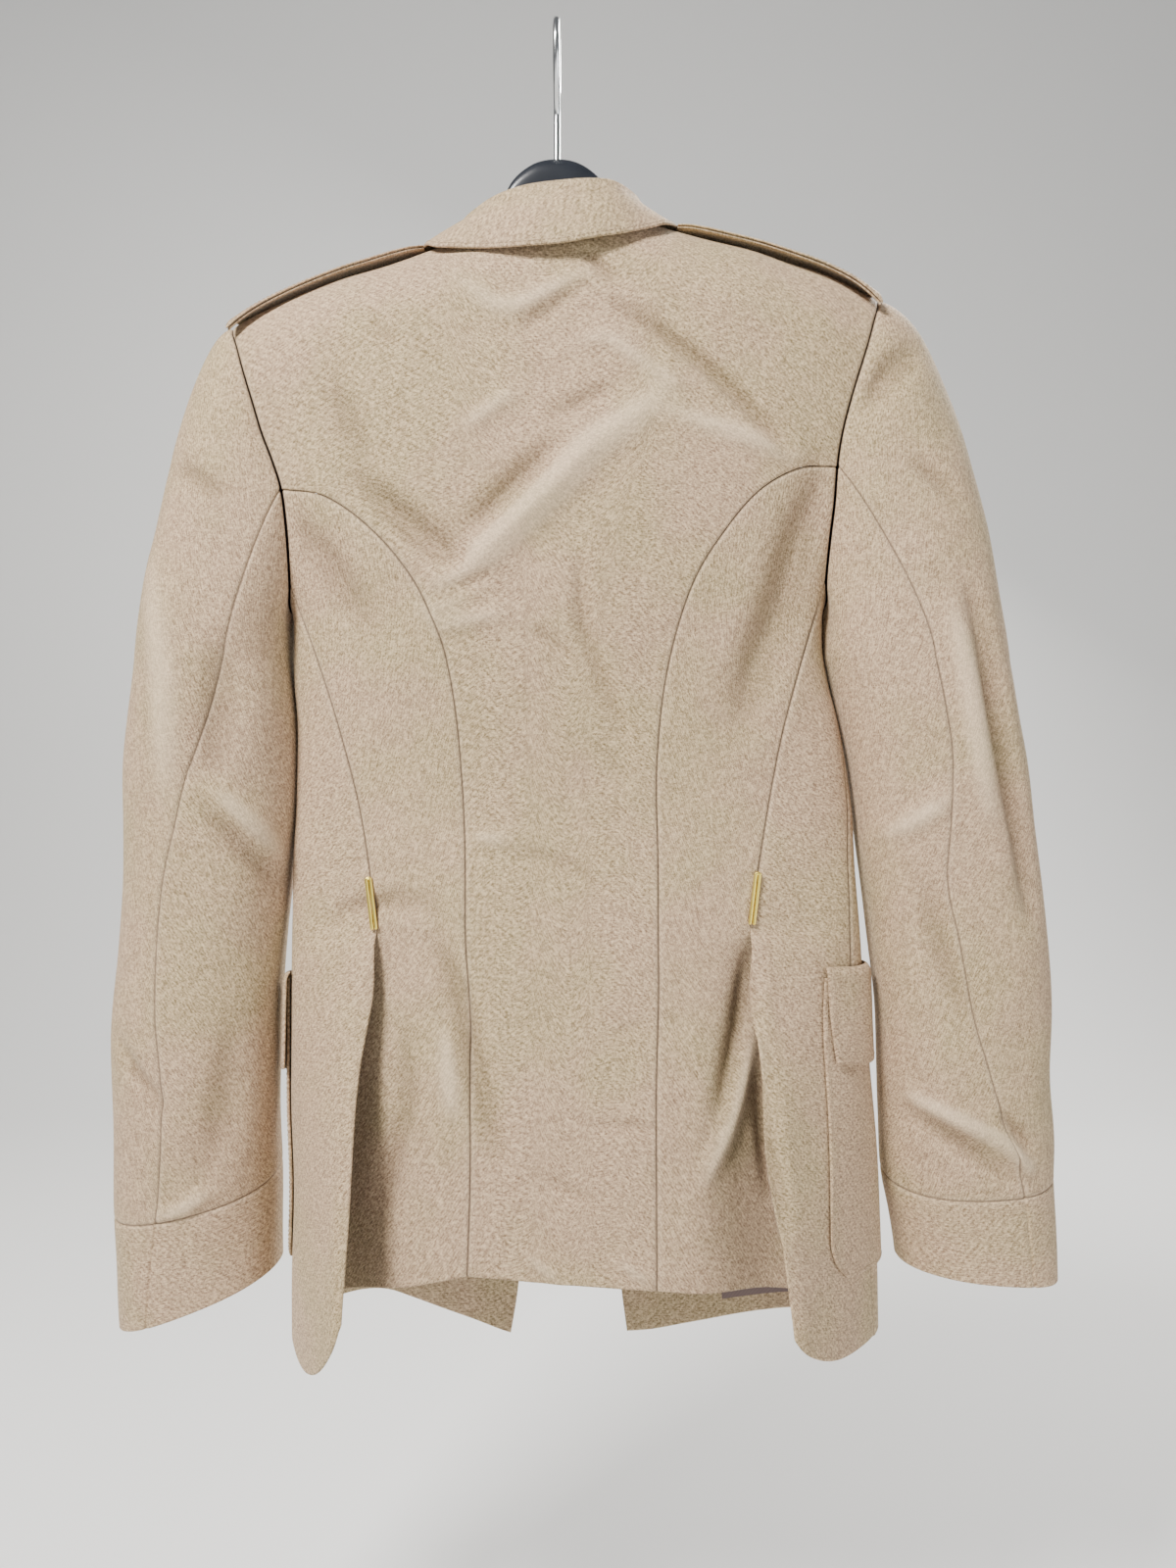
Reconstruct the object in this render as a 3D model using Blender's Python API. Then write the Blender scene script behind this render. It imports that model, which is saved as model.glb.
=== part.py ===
"""Dress uniform jacket on a black coat hanger, seen from the back.

The wire hook's inner top point is the origin. The back faces -Y, the front +Y, and +Z is up. The tables
are in millimetres and the objects in metres. In every table left is the -X side, which is the wearer's left.
The cloth is a 2 mm wall. Pieces are 0.3 mm apart where they are sewn.
"""

import math

import bmesh
import bpy
import numpy as np

MM = 0.001
WALL = 2.0
GAP = 0.3
FULLNESS = 0.87
SHOULDER_ROUND = 55.0

CLOTH = (0.36, 0.27, 0.19, 1.0)
BRASS = (0.72, 0.58, 0.24, 1.0)
STEEL = (0.70, 0.71, 0.73, 1.0)
BLACK = (0.012, 0.013, 0.018, 1.0)

# Torso rings: height, half width left and right, depth to the back and to the front
TORSO = np.array(
    [
        (-90, 216, 214, 43, 40),
        (-135, 216, 214, 45, 42),
        (-184, 215, 213, 50, 46),
        (-219, 213, 210, 51, 48),
        (-251, 208, 203, 52, 50),
        (-290, 194, 187, 53, 54),
        (-320, 180, 175, 52, 55),
        (-345, 167, 166, 51, 56),
        (-358, 161, 162, 50, 55),
        (-378, 157, 158, 48, 54),
        (-400, 155, 159, 46, 52),
        (-426, 153.5, 166, 44, 48),
        (-450, 153, 171, 42, 46),
        (-476, 152.3, 172.5, 41, 44),
        (-510, 156.5, 175.5, 43, 45),
        (-546, 161, 182, 46, 46),
        (-606, 162, 186, 50, 48),
        (-654, 161.5, 190, 54, 49),
        (-700, 160.5, 193, 56, 50),
        (-762, 160.5, 195.5, 57, 51),
        (-840, 161, 198, 58, 52),
    ]
)

# Shoulder line over the hanger: across, height
SHOULDER = np.array(
    [
        (-240, -205),
        (-197, -184),
        (-180, -175.5),
        (-160, -167),
        (-143, -160.5),
        (-126, -154.5),
        (-107, -148.8),
        (-87, -142.4),
        (-67, -135.5),
        (-40, -124),
        (0, -112),
        (40, -114),
        (63, -124.5),
        (80, -129.2),
        (100, -134.2),
        (120, -139),
        (140, -144.8),
        (160, -151),
        (178, -158.3),
        (195, -167.5),
        (240, -190),
    ]
)

# Armhole from the shoulder point down to the underarm: back across, back height, front across, front height
ARMHOLE = {
    "left": np.array(
        [
            (-197, -184, -197, -184),
            (-196.5, -186.5, -196, -186.5),
            (-194.5, -192, -193, -192),
            (-190, -202, -187, -203),
            (-184, -219, -178, -221),
            (-178, -237, -169, -239),
            (-172, -256, -161, -258),
            (-165, -274, -155, -277),
            (-160, -290, -151, -296),
            (-158, -308, -150, -316),
            (-157.5, -327, -152.5, -334),
            (-158.5, -344, -156.5, -348),
            (-161.3, -353.5, -161, -355),
            (-161, -358, -161, -358),
        ]
    ),
    "right": np.array(
        [
            (195, -167.5, 195, -167.5),
            (194.5, -170, 194, -170),
            (193, -176, 191.5, -176),
            (189, -187, 186, -187),
            (183.5, -204, 177, -206),
            (177.5, -222, 168, -225),
            (172, -240, 160, -245),
            (167.5, -258, 154, -265),
            (165, -276, 150, -286),
            (164, -297, 149.5, -308),
            (162, -319, 152, -329),
            (161, -340, 156.5, -346),
            (163.3, -350, 162.6, -353),
            (162, -357, 162, -357),
        ]
    ),
}
PRINCESS_AT = 8
SIDE_BACK_AT = 11

# Rows down the back: princess seam, side-back seam, hidden edge of the back skirt (across, height), side seam
# (angle, height). The first nine rows are sewn. Below them the vent is open.
ROWS = {
    "left": np.array(
        [
            (-160, -290, -158.5, -344, -158.5, -344, -90, -358),
            (-133, -296, -152.5, -360, -152.5, -360, -90.5, -372),
            (-105, -316, -144, -381, -144, -381, -91.5, -392),
            (-82, -344, -134.5, -408, -134.5, -408, -92.5, -416),
            (-66, -378, -125.5, -436, -125.5, -436, -94, -442),
            (-58, -417, -117, -468, -117, -468, -95, -472),
            (-54, -462, -110.5, -500, -110.5, -500, -96, -503),
            (-52, -508, -106, -530, -106, -530, -97, -532),
            (-51.5, -545, -104, -545, -104, -545, -97, -546),
            (-51, -560, -104.4, -557, -99.4, -556, -97, -560),
            (-50, -585, -104, -584, -117, -580, -97, -592),
            (-48, -638, -109.5, -628, -129, -636, -97, -645),
            (-48, -692, -112.4, -692, -134, -697, -97, -705),
            (-49.5, -741, -114.4, -757, -137, -754, -97, -793),
        ]
    ),
    "right": np.array(
        [
            (165, -276, 161, -340, 161, -340, 90, -357),
            (143, -278.5, 155.5, -356, 155.5, -356, 89, -371),
            (119, -292, 148.5, -377, 148.5, -377, 88, -391),
            (98, -316, 141, -403, 141, -403, 86.5, -415),
            (79, -348, 133, -434, 133, -434, 84.5, -441),
            (65, -396, 126.5, -466, 126.5, -466, 82, -471),
            (59, -448, 120.5, -499, 120.5, -499, 80, -502),
            (59.5, -505, 115.5, -529, 115.5, -529, 79, -531),
            (59.5, -543, 113.4, -543, 113.4, -543, 78.5, -545),
            (59.5, -560, 113.4, -556, 110, -555, 78.5, -560),
            (59.5, -585, 112, -588, 127, -580, 78.5, -592),
            (58, -638, 117, -632, 140, -636, 79, -645),
            (58, -692, 123, -692, 146, -697, 79.5, -705),
            (58, -749, 130, -762, 150, -752, 80, -790),
        ]
    ),
}

# Vent: height, lift of the side panel's edge to the camera side, tuck of the back skirt's edge to the inside
VENT = np.array(
    [
        (-300, 0, 0),
        (-545, 0, 0),
        (-557, 6, 4),
        (-584, 13, 8),
        (-610, 19, 10),
        (-650, 29, 13),
        (-700, 38, 15),
        (-760, 44, 16),
        (-840, 46, 16),
    ]
)
LIFT_FROM = 78.0

# Front edge from the neck point down the roll line to the break, then down to the hem: across, height
FRONT_EDGE = {
    "left": np.array(
        [
            (-67, -135.5),
            (-60, -150),
            (-51, -187),
            (-41, -240),
            (-31.5, -298),
            (-24, -358),
            (-18, -410),
            (-20, -500),
            (-23, -600),
            (-25.5, -710),
            (-27, -793),
            (-31.5, -821),
        ]
    ),
    "right": np.array(
        [
            (63, -124.5),
            (57, -141),
            (48, -180),
            (40.5, -235),
            (34.5, -295),
            (29, -357),
            (26, -409),
            (29.5, -500),
            (34, -600),
            (38.5, -710),
            (41, -793),
            (44.5, -820),
        ]
    ),
}
FRONT_SHARE = np.array([0, 0.05, 0.11, 0.18, 0.27, 0.38, 0.5, 0.64, 0.78, 0.9, 1])
SIDE_SHARE = np.array([0, 0.14, 0.28, 0.42, 0.56, 0.68, 0.79, 0.9, 1])
# Front hem: across, height
FRONT_HEM = np.array(
    [
        (-170, -793),
        (-150, -789),
        (-110, -788),
        (-95, -794.5),
        (-58, -810.5),
        (-31.5, -821),
        (44.5, -820),
        (58, -819),
        (83, -813.6),
        (122, -804),
        (146, -799),
        (200, -790),
    ]
)

# Lapel rows: roll line across and height, outer edge across and height, for the left front
LAPEL = {
    "left": np.array(
        [
            (-20.5, -404, -26, -402),
            (-25.5, -372, -45, -366),
            (-30.5, -334, -63, -326),
            (-36, -294, -80, -287),
            (-42, -256, -95, -250),
            (-48, -222, -104, -221),
            (-52.5, -204, -84, -218),
        ]
    ),
    "right": np.array(
        [
            (28.5, -403, 34, -401),
            (31, -371, 52, -365),
            (34, -333, 68, -325),
            (37.5, -293, 84, -286),
            (41.5, -254, 97, -246),
            (46, -218, 105, -214),
            (49.5, -198, 82, -210),
        ]
    ),
}

# Collar stations from the left front round the back: neck seam, fold and fall edge, each across, depth, height
COLLAR = np.array(
    [
        (-51, 44, -187, -50, 52.5, -182, -86, 53, -206),
        (-56, 38, -165, -53.5, 48, -157, -93, 47.5, -190),
        (-60, 31, -150, -56.5, 37, -138.5, -93, 41, -166),
        (-64, 18, -141, -59, 19, -129, -88.5, 26, -148),
        (-67, 0, -135.5, -60, 0, -122.5, -83, 0, -137),
        (-62, -14, -137, -57, -13, -122, -78.5, -18, -139.5),
        (-55, -24, -139, -50, -23.5, -121, -69, -34, -148),
        (-38, -34.6, -143, -36, -35.5, -118, -46, -43, -153),
        (-18, -41, -145.5, -18, -43, -115.5, -21, -52, -156),
        (3, -42.6, -146, 3, -45.5, -114, 3.6, -55, -155.5),
        (22, -40.5, -143.5, 21, -43.5, -111.5, 22, -54, -152),
        (38, -34, -139, 34.5, -37, -110, 40, -48.5, -146.5),
        (52, -22, -132.5, 46.5, -25, -111, 54.5, -39.5, -139.5),
        (59, -12, -127.5, 52, -13, -112, 66.5, -28.5, -132),
        (63, 0, -124.5, 55, 0, -113.5, 76, 0, -123.5),
        (60, 18, -131, 55, 19, -119.5, 83, 28, -136),
        (57, 31, -141, 53.5, 37, -130, 87.5, 42, -156),
        (53, 38, -157, 50.5, 48, -149, 88, 47, -181),
        (48, 44, -180, 47, 52.5, -175, 81, 53, -198),
    ]
)

# Sleeve rings: outer across and height, inner across and height, middle depth, half depth, hindarm seam
# angle, drop of the ring at the back
SLEEVE = {
    "left": np.array(
        [
            (-254.5, -390, -161.7, -386, 0, 46, 109, 0),
            (-259, -422, -158.9, -418, 0, 46, 99, 0),
            (-261.8, -450, -158.4, -446, 1, 46, 91, 0),
            (-262.4, -486, -158.8, -482, 2, 45, 83, 0),
            (-263, -522, -163, -518, 3, 44, 76, 0),
            (-266, -558, -167, -552, 3, 43, 75, 0),
            (-269.6, -600, -170, -590, 3, 42, 78, 0),
            (-270, -642, -171.2, -628, 4, 41, 82, 2),
            (-271, -682, -171.8, -664, 6, 39, 81, 5),
            (-271.5, -722, -171.8, -699, 9, 37, 76, 8),
            (-270.5, -757, -171.8, -726, 11, 36, 70, 4),
            (-270, -791, -171.8, -753, 13, 35, 64, 0),
        ]
    ),
    "right": np.array(
        [
            (273.4, -390, 163, -386, 0, 47, 105, 0),
            (279, -422, 170.5, -418, 0, 47, 95, 0),
            (284.3, -450, 176.8, -446, 1, 46, 91, 0),
            (289.6, -486, 182.5, -482, 2, 45, 97, 0),
            (294, -522, 187.5, -518, 3, 44, 106, 0),
            (297.8, -558, 192, -552, 3, 43, 104, 0),
            (299.6, -600, 195.7, -592, 3, 42, 99, 0),
            (300.4, -640, 197.7, -630, 4, 40, 90, 2),
            (304, -675, 199.2, -668, 7, 39, 79, 4),
            (305, -700, 201, -702, 9, 37, 72, 7),
            (307, -733, 206, -724, 11, 36, 68, 2),
            (309.5, -766, 211, -745.5, 13, 35, 66, -4),
        ]
    ),
}
CUFF_RING = 9
CAP_STEPS = (0.0, 0.10, 0.24, 0.42, 0.66, 1.0)
CAP_PUSH = {"left": 90.0, "right": 150.0}
FOREARM_COLUMN = 17

# Patch pocket and flap, in columns and rows of the side panel and the front laid side by side
POCKET = {
    "left": {"rear": 5.0, "front": 16.0, "top": 9.62, "bottom": 12.51},
    "right": {"rear": 3.0, "front": 15.0, "top": 9.5, "bottom": 12.5},
}
FLAP = {
    "left": {"rear": 5.0, "front": 16.2, "top": 9.46, "bottom": 10.79},
    "right": {"rear": 3.3, "front": 15.2, "top": 9.26, "bottom": 10.63},
}

# Shoulder strap: width, two plies thick, rise over the middle of the shoulder
STRAP_WIDTH = 44.0
STRAP_PLIES = 3.0
STRAP_RISE = 2.6
STRAP_ENDS = {"left": (-87.0, -194.0), "right": (81.0, 192.0)}

FRONT_BUTTON = {"diameter": 24.0, "height": 7.0, "heights": (-424.0, -499.0, -574.0, -649.0), "across": -36.0}
STRAP_BUTTON = {"diameter": 15.0, "height": 5.0}

# Belt hook: top and bottom of the hairpin wire, across and height
BELT_HOOK = {
    "left": {"top": (-108.7, -518.0), "bottom": (-104.9, -545.5)},
    "right": {"top": (117.6, -515.0), "bottom": (113.9, -542.5)},
}
BELT_WIRE = 2.0
BELT_PITCH = 2.3
BELT_RISE = 1.7

# Hanger along its length: across, top height, bottom height, half depth
HANGER = np.array(
    [
        (-188, -185.0, -192.0, 3.0),
        (-180, -179.0, -193.0, 4.0),
        (-160, -170.6, -189.0, 6.0),
        (-126, -158.0, -180.0, 6.5),
        (-87, -146.6, -171.0, 7.0),
        (-62, -140.5, -165.0, 7.0),
        (-45, -134.0, -162.0, 7.0),
        (-37, -124.0, -161.0, 7.0),
        (-34, -109.0, -160.5, 7.0),
        (-28, -94.5, -160.0, 7.0),
        (-18, -85.0, -159.0, 7.0),
        (-7, -80.6, -158.0, 7.0),
        (7, -80.6, -157.0, 7.0),
        (18, -85.0, -156.0, 7.0),
        (28, -94.0, -155.5, 7.0),
        (34, -106.0, -155.0, 7.0),
        (37, -118.0, -154.5, 7.0),
        (45, -125.0, -154.0, 7.0),
        (60, -128.6, -155.0, 7.0),
        (77, -132.9, -157.0, 7.0),
        (100, -137.4, -161.0, 6.5),
        (133, -146.0, -168.0, 6.5),
        (163, -155.6, -174.0, 6.0),
        (179, -163.0, -177.0, 4.0),
        (187, -168.0, -175.5, 3.0),
    ]
)
HOOK_WIRE = 4.0
HOOK_INNER = 18.0
SOCKET_DEPTH = 14.0


def smooth(places, values, at):
    """Smooth curve through a table. The places rise and the ends are held."""
    places = np.asarray(places, float)
    values = np.asarray(values, float)
    at = np.clip(at, places[0], places[-1])
    slope = np.gradient(values, places)
    k = np.clip(np.searchsorted(places, at, side="right") - 1, 0, len(places) - 2)
    step = places[k + 1] - places[k]
    t = (at - places[k]) / step
    return (
        values[k] * (1 + 2 * t) * (1 - t) ** 2
        + values[k + 1] * t * t * (3 - 2 * t)
        + step * t * (1 - t) * (slope[k] * (1 - t) - slope[k + 1] * t)
    )


def down(table, column, height):
    """Column of a table whose first column is the height, largest first."""
    return smooth(-table[:, 0], table[:, column], -np.asarray(height, float))


def shoulder_height(across):
    return np.interp(across, SHOULDER[:, 0], SHOULDER[:, 1])


def full(value):
    """Squares a sine or cosine off a little, so that a ring is fuller than an ellipse."""
    return np.sign(value) * np.abs(value) ** FULLNESS


def half_width(height, right):
    return np.where(right, down(TORSO, 2, height), down(TORSO, 1, height))


def back_angle(across, height):
    """Ring angle of a point on the back: 0 at the centre, 90 at the right side and -90 at the left."""
    ratio = np.abs(across) / half_width(height, np.asarray(across) >= 0)
    turn = np.degrees(np.arcsin(np.clip(ratio, 0, 1) ** (1 / FULLNESS)))
    return np.sign(across) * turn


def front_angle(across, height):
    turn = back_angle(across, height)
    return np.where(np.asarray(across) >= 0, 180 - turn, -180 - turn)


def edge_angle(height, right):
    """Angle of the side panel's vent edge."""
    rows = ROWS["right" if right else "left"]
    across = smooth(-rows[:, 3], rows[:, 2], -np.asarray(height, float))
    return np.abs(back_angle(across, height))


def torso(angle, height, inset=0.0, layer="side"):
    """Points of the torso ring. The side layer flares at the vent. The back layer tucks in behind it."""
    angle = np.asarray(angle, float)
    height = np.asarray(height, float)
    sine, cosine = np.sin(np.radians(angle)), np.cos(np.radians(angle))
    wide = half_width(height, sine >= 0)
    deep = np.where(cosine >= 0, down(TORSO, 3, height), down(TORSO, 4, height))
    across = wide * full(sine)
    below = np.clip((shoulder_height(across) - height) / SHOULDER_ROUND, 0, 1)
    rounding = np.sqrt(np.clip(1 - (1 - below) ** 2, 0, 1))
    depth = -(deep - inset) * full(cosine) * rounding
    if layer == "side":
        edge = np.where(sine >= 0, edge_angle(height, True), edge_angle(height, False))
        near = np.clip((LIFT_FROM - np.abs(angle)) / (LIFT_FROM - edge), 0, 1.1)
        depth = depth - down(VENT, 1, height) * near**1.7
    else:
        near = np.clip((np.abs(across) - 78) / 50, 0, 1)
        depth = depth + down(VENT, 2, height) * near * near * (3 - 2 * near)
    return np.stack([(wide - inset) * full(sine), depth, height - inset * (1 - below)], axis=-1)


def grid_normals(points, closed):
    """Unit normals of a grid of points, from the differences between its neighbours."""
    along = np.gradient(points, axis=0)
    if closed:
        across = (np.roll(points, -1, axis=1) - np.roll(points, 1, axis=1)) / 2
    else:
        across = np.gradient(points, axis=1)
    normal = np.cross(along, across)
    return normal / np.linalg.norm(normal, axis=2, keepdims=True)


def make_collection(name):
    collection = bpy.data.collections.new(name)
    bpy.context.scene.collection.children.link(collection)
    return collection


def material_for(name, colour, metallic, roughness):
    material = bpy.data.materials.new(name)
    material.use_nodes = True
    material.diffuse_color = colour
    shader = material.node_tree.nodes["Principled BSDF"]
    shader.inputs["Base Color"].default_value = colour
    shader.inputs["Metallic"].default_value = metallic
    shader.inputs["Roughness"].default_value = roughness
    return material


def add_object(name, mesh, material):
    thing = bpy.data.objects.new(name, mesh)
    mesh.materials.append(material)
    JACKET.objects.link(thing)
    return thing


def cloth(name):
    return material_for(name + "_cloth", CLOTH, 0.0, 0.9)


def wall(name, outer, inner, material, closed=False):
    """Closed solid between two matching grids of points. A closed grid runs round a tube."""
    rows, columns = outer.shape[:2]
    points = np.concatenate([outer.reshape(-1, 3), inner.reshape(-1, 3)]) * MM
    number = np.arange(rows * columns).reshape(rows, columns)
    if closed:
        number = np.concatenate([number, number[:, :1]], axis=1)
    back = number + rows * columns
    corners = (number[:-1, :-1], number[:-1, 1:], number[1:, 1:], number[1:, :-1])
    front_faces = np.stack(corners, axis=-1).reshape(-1, 4)
    back_faces = front_faces[:, ::-1] + rows * columns
    rims = [np.stack([number[0, 1:], number[0, :-1], back[0, :-1], back[0, 1:]], axis=-1)]
    rims.append(np.stack([number[-1, :-1], number[-1, 1:], back[-1, 1:], back[-1, :-1]], axis=-1))
    if not closed:
        rims.append(np.stack([number[:-1, 0], number[1:, 0], back[1:, 0], back[:-1, 0]], axis=-1))
        rims.append(np.stack([number[1:, -1], number[:-1, -1], back[:-1, -1], back[1:, -1]], axis=-1))
    faces = np.concatenate([front_faces, back_faces] + rims)
    mesh = bpy.data.meshes.new(name)
    mesh.from_pydata(points.tolist(), [], faces.tolist())
    shape = bmesh.new()
    shape.from_mesh(mesh)
    if shape.calc_volume(signed=True) < 0:
        bmesh.ops.reverse_faces(shape, faces=shape.faces)
    shape.to_mesh(mesh)
    shape.free()
    flat = len(front_faces) + len(back_faces)
    mesh.polygons.foreach_set("use_smooth", [k < flat for k in range(len(faces))])
    return add_object(name, mesh, material)


def offset_curve(curve, amount):
    """Moves a seam in its own plane by an amount to one side."""
    run = np.gradient(curve, axis=0)
    run /= np.linalg.norm(run, axis=1, keepdims=True)
    return curve + amount * np.stack([run[:, 1], -run[:, 0]], axis=1)


def panel(name, angles, heights, layer, shift=0.0, top=None):
    """Panel of the torso from grids of angle and height. The shift parts its top edge from the next panel. A
    top gives that edge's samples, as shares and points, which are joined by straight lines."""
    outer = torso(angles, heights, 0.0, layer)
    inner = torso(angles, heights, WALL, layer)
    if top is not None:
        share, spots, corners = top
        for grid, inset in ((outer, 0.0), (inner, WALL)):
            line = torso(corners[0], corners[1], inset, layer)
            for axis in range(3):
                grid[0, 1:-1, axis] = np.interp(share, spots, line[:, axis])[1:-1]
    outer[0, :, 1] += shift
    inner[0, :, 1] += shift
    wall(name, outer, inner, cloth(name))
    return outer


# Back panels
def build_back():
    left, right = ROWS["left"], ROWS["right"]
    edges = []
    for side, rows, sign in (("left", left, 1), ("right", right, -1)):
        seam = offset_curve(rows[:, 0:2], -sign * GAP / 2)
        seam[0] = rows[0, 0:2] + (0.0, GAP / 2)
        edges.append(np.concatenate([ARMHOLE[side][:PRINCESS_AT, 0:2], seam]))
    top_across = np.array([-197, -165, -131, -99, -67, -55, -38, -18, 3, 22, 38, 52, 63, 96, 129, 162, 195])
    neck = np.interp(top_across, COLLAR[4:15, 0], COLLAR[4:15, 2])
    inside = (top_across > -66) & (top_across < 62)
    top = np.where(inside, neck, shoulder_height(top_across))
    share = (top_across + 197) / 392
    low, high = edges
    across = low[:, None, 0] * (1 - share) + high[:, None, 0] * share
    level = low[:, None, 1] * (1 - share) + high[:, None, 1] * share
    fade = np.clip(1 - np.arange(len(low)) / 11, 0, 1)[:, None] ** 1.3
    heights = level + (top - level[0]) * fade
    shift = np.where(inside, 0.0, -GAP / 2)
    panel("back_centre", back_angle(across, heights), heights, "back", shift)

    for side, rows, sign in (("left", left, 1), ("right", right, -1)):
        inner_edge = offset_curve(rows[:, 0:2], sign * GAP / 2)
        outer_edge = offset_curve(rows[:, 4:6], -sign * GAP / 2)
        share = np.linspace(0, 1, 7)
        start, end = back_angle(inner_edge[:, 0], inner_edge[:, 1]), back_angle(outer_edge[:, 0], outer_edge[:, 1])
        angles = start[:, None] * (1 - share) + end[:, None] * share
        heights = inner_edge[:, None, 1] * (1 - share) + outer_edge[:, None, 1] * share
        hole = ARMHOLE[side][PRINCESS_AT : SIDE_BACK_AT + 1, 0:2]
        spots = share * (SIDE_BACK_AT - PRINCESS_AT)
        angles[0] = np.interp(spots, np.arange(4), back_angle(hole[:, 0], hole[:, 1]))
        heights[0] = np.interp(spots, np.arange(4), hole[:, 1])
        angles[0, 0], heights[0, 0] = start[0], inner_edge[0, 1]
        angles[0, -1], heights[0, -1] = end[0], outer_edge[0, 1]
        panel("back_side_" + side, angles, heights, "back")


# Side panels with the vent flare
def build_sides():
    for side, sign in (("left", 1), ("right", -1)):
        rows = ROWS[side]
        edge = offset_curve(rows[:, 2:4], sign * GAP / 2)
        start = back_angle(edge[:, 0], edge[:, 1])
        end = rows[:, 6] + sign * 0.1
        share = SIDE_SHARE
        angles = start[:, None] * (1 - share) + end[:, None] * share
        heights = edge[:, None, 1] * (1 - share) + rows[:, None, 7] * share
        hole = ARMHOLE[side][SIDE_BACK_AT:, 0:2]
        spots = [0, 0.56, 1]
        corners = back_angle(hole[:, 0], hole[:, 1]), hole[:, 1]
        angles[0] = np.interp(share, spots, corners[0])
        heights[0] = np.interp(share, spots, corners[1])
        angles[0, 0], angles[0, -1] = start[0], end[0]
        # The hem runs level from the side seam and turns up near the vent edge
        heights[-1] = rows[-1, 7] + (edge[-1, 1] - rows[-1, 7]) * (1 - share) ** 5
        top = (share, spots, corners)
        GRIDS["side_panel_" + side] = panel("side_panel_" + side, angles, heights, "side", top=top)


# Fronts
def build_fronts():
    for side, sign in (("left", 1), ("right", -1)):
        rows = ROWS[side]
        hole = ARMHOLE[side][:, 2:4]
        under = len(hole) - 1
        seam_angles = rows[1:, 6] - sign * 0.1
        hole_angles = front_angle(hole[:, 0], hole[:, 1])
        hole_angles[-1] = rows[0, 6] - sign * 0.1
        outer_angles = np.concatenate([hole_angles, seam_angles])
        outer_heights = np.concatenate([hole[:, 1], rows[1:, 7]])
        edge = FRONT_EDGE[side]
        # Rows start level with the shoulder seam and are level with the ground from the underarm down
        part = np.clip((outer_heights - hole[0, 1]) / (hole[-1, 1] - hole[0, 1]), 0, 1)
        edge_heights = outer_heights + (edge[0, 1] - hole[0, 1]) * (1 - part) ** 1.6
        edge_heights[-1] = edge[-1, 1]
        edge_across = np.interp(-edge_heights, -edge[:, 1], edge[:, 0])
        edge_angles = front_angle(edge_across, edge_heights)
        share = FRONT_SHARE
        angles = outer_angles[:, None] * (1 - share) + edge_angles[:, None] * share
        heights = outer_heights[:, None] * (1 - share) + edge_heights[:, None] * share
        # The armhole rows run straight across, so that the top row is the shoulder seam itself
        for k in range(under + 1):
            straight = hole[k, 0] * (1 - share) + edge_across[k] * share
            by_across = front_angle(straight, heights[k])
            mix = np.clip((under - k) / 5, 0, 1)
            angles[k] = by_across * mix + angles[k] * (1 - mix)
        along = hole[0, 0] * (1 - share) + edge[0, 0] * share
        fade = np.clip(1 - np.arange(len(heights)) / 6, 0, 1)[:, None]
        heights = heights + (shoulder_height(along) - heights[0]) * fade
        last = torso(angles[-1], heights[-1])
        heights[-1] = np.interp(last[:, 0], FRONT_HEM[:, 0], FRONT_HEM[:, 1])
        GRIDS["front_" + side] = panel("front_" + side, angles, heights, "side", GAP / 2)
        build_lapel(side)


def build_lapel(side):
    """Turned-back part of the front facing, which lies on the front panel."""
    rows = LAPEL[side]
    share = np.linspace(0, 1, 6)
    across = rows[:, None, 0] * (1 - share) + rows[:, None, 2] * share
    heights = rows[:, None, 1] * (1 - share) + rows[:, None, 3] * share
    angles = front_angle(across, heights)
    proud = GAP + 0.5 + 1.6 * np.sin(np.pi * np.clip(share, 0, 1) * 0.5)
    under = torso(angles, heights, 0.0) + np.stack([0 * across, proud + 0 * across, 0 * across], axis=-1)
    over = under + np.array([0.0, WALL, 0.0])
    wall("lapel_" + side, over, under, cloth("lapel_" + side))


# Collar
def build_collar():
    neck, fold, edge = COLLAR[:, 0:3], COLLAR[:, 3:6], COLLAR[:, 6:9]
    run = np.gradient(fold, axis=0)
    out = np.stack([run[:, 1], -run[:, 0], 0 * run[:, 0]], axis=1)
    out /= np.linalg.norm(out, axis=1, keepdims=True)
    out *= np.where((out * (fold - [0, 5, -120])).sum(axis=1) < 0, -1, 1)[:, None]
    up = np.cross(out, run)
    up /= np.linalg.norm(up, axis=1, keepdims=True) * np.sign(up[:, 2:3])
    roll = [(-6.0, -1.0), (-3.2, 0.0), (-1.0, -1.0), (0.0, -3.6)]
    columns = [fold + out * r + up * z for r, z in roll]
    last = columns[-1]
    for t in (0.25, 0.5, 0.75, 1.0):
        bulge = 1.5 * math.sin(math.pi * t)
        columns.append(last * (1 - t) + edge * t + out * bulge)
    outer = np.stack(columns, axis=1)
    normal = grid_normals(outer, False)
    facing = (normal[9, 5] * out[9]).sum()
    normal = normal if facing > 0 else -normal
    wall("collar_fall", outer, outer - normal * WALL, cloth("collar_fall"))

    seam = neck - out * GAP + [0.0, 0.0, GAP]
    top = fold - out * 4.3 - up * 4.5
    columns = [seam * (1 - t) + top * t for t in (0.0, 0.5, 1.0)]
    outer = np.stack(columns, axis=1)[1:-1]
    inner = outer - out[1:-1, None, :] * WALL
    wall("collar_stand", outer, inner, cloth("collar_stand"))


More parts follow.
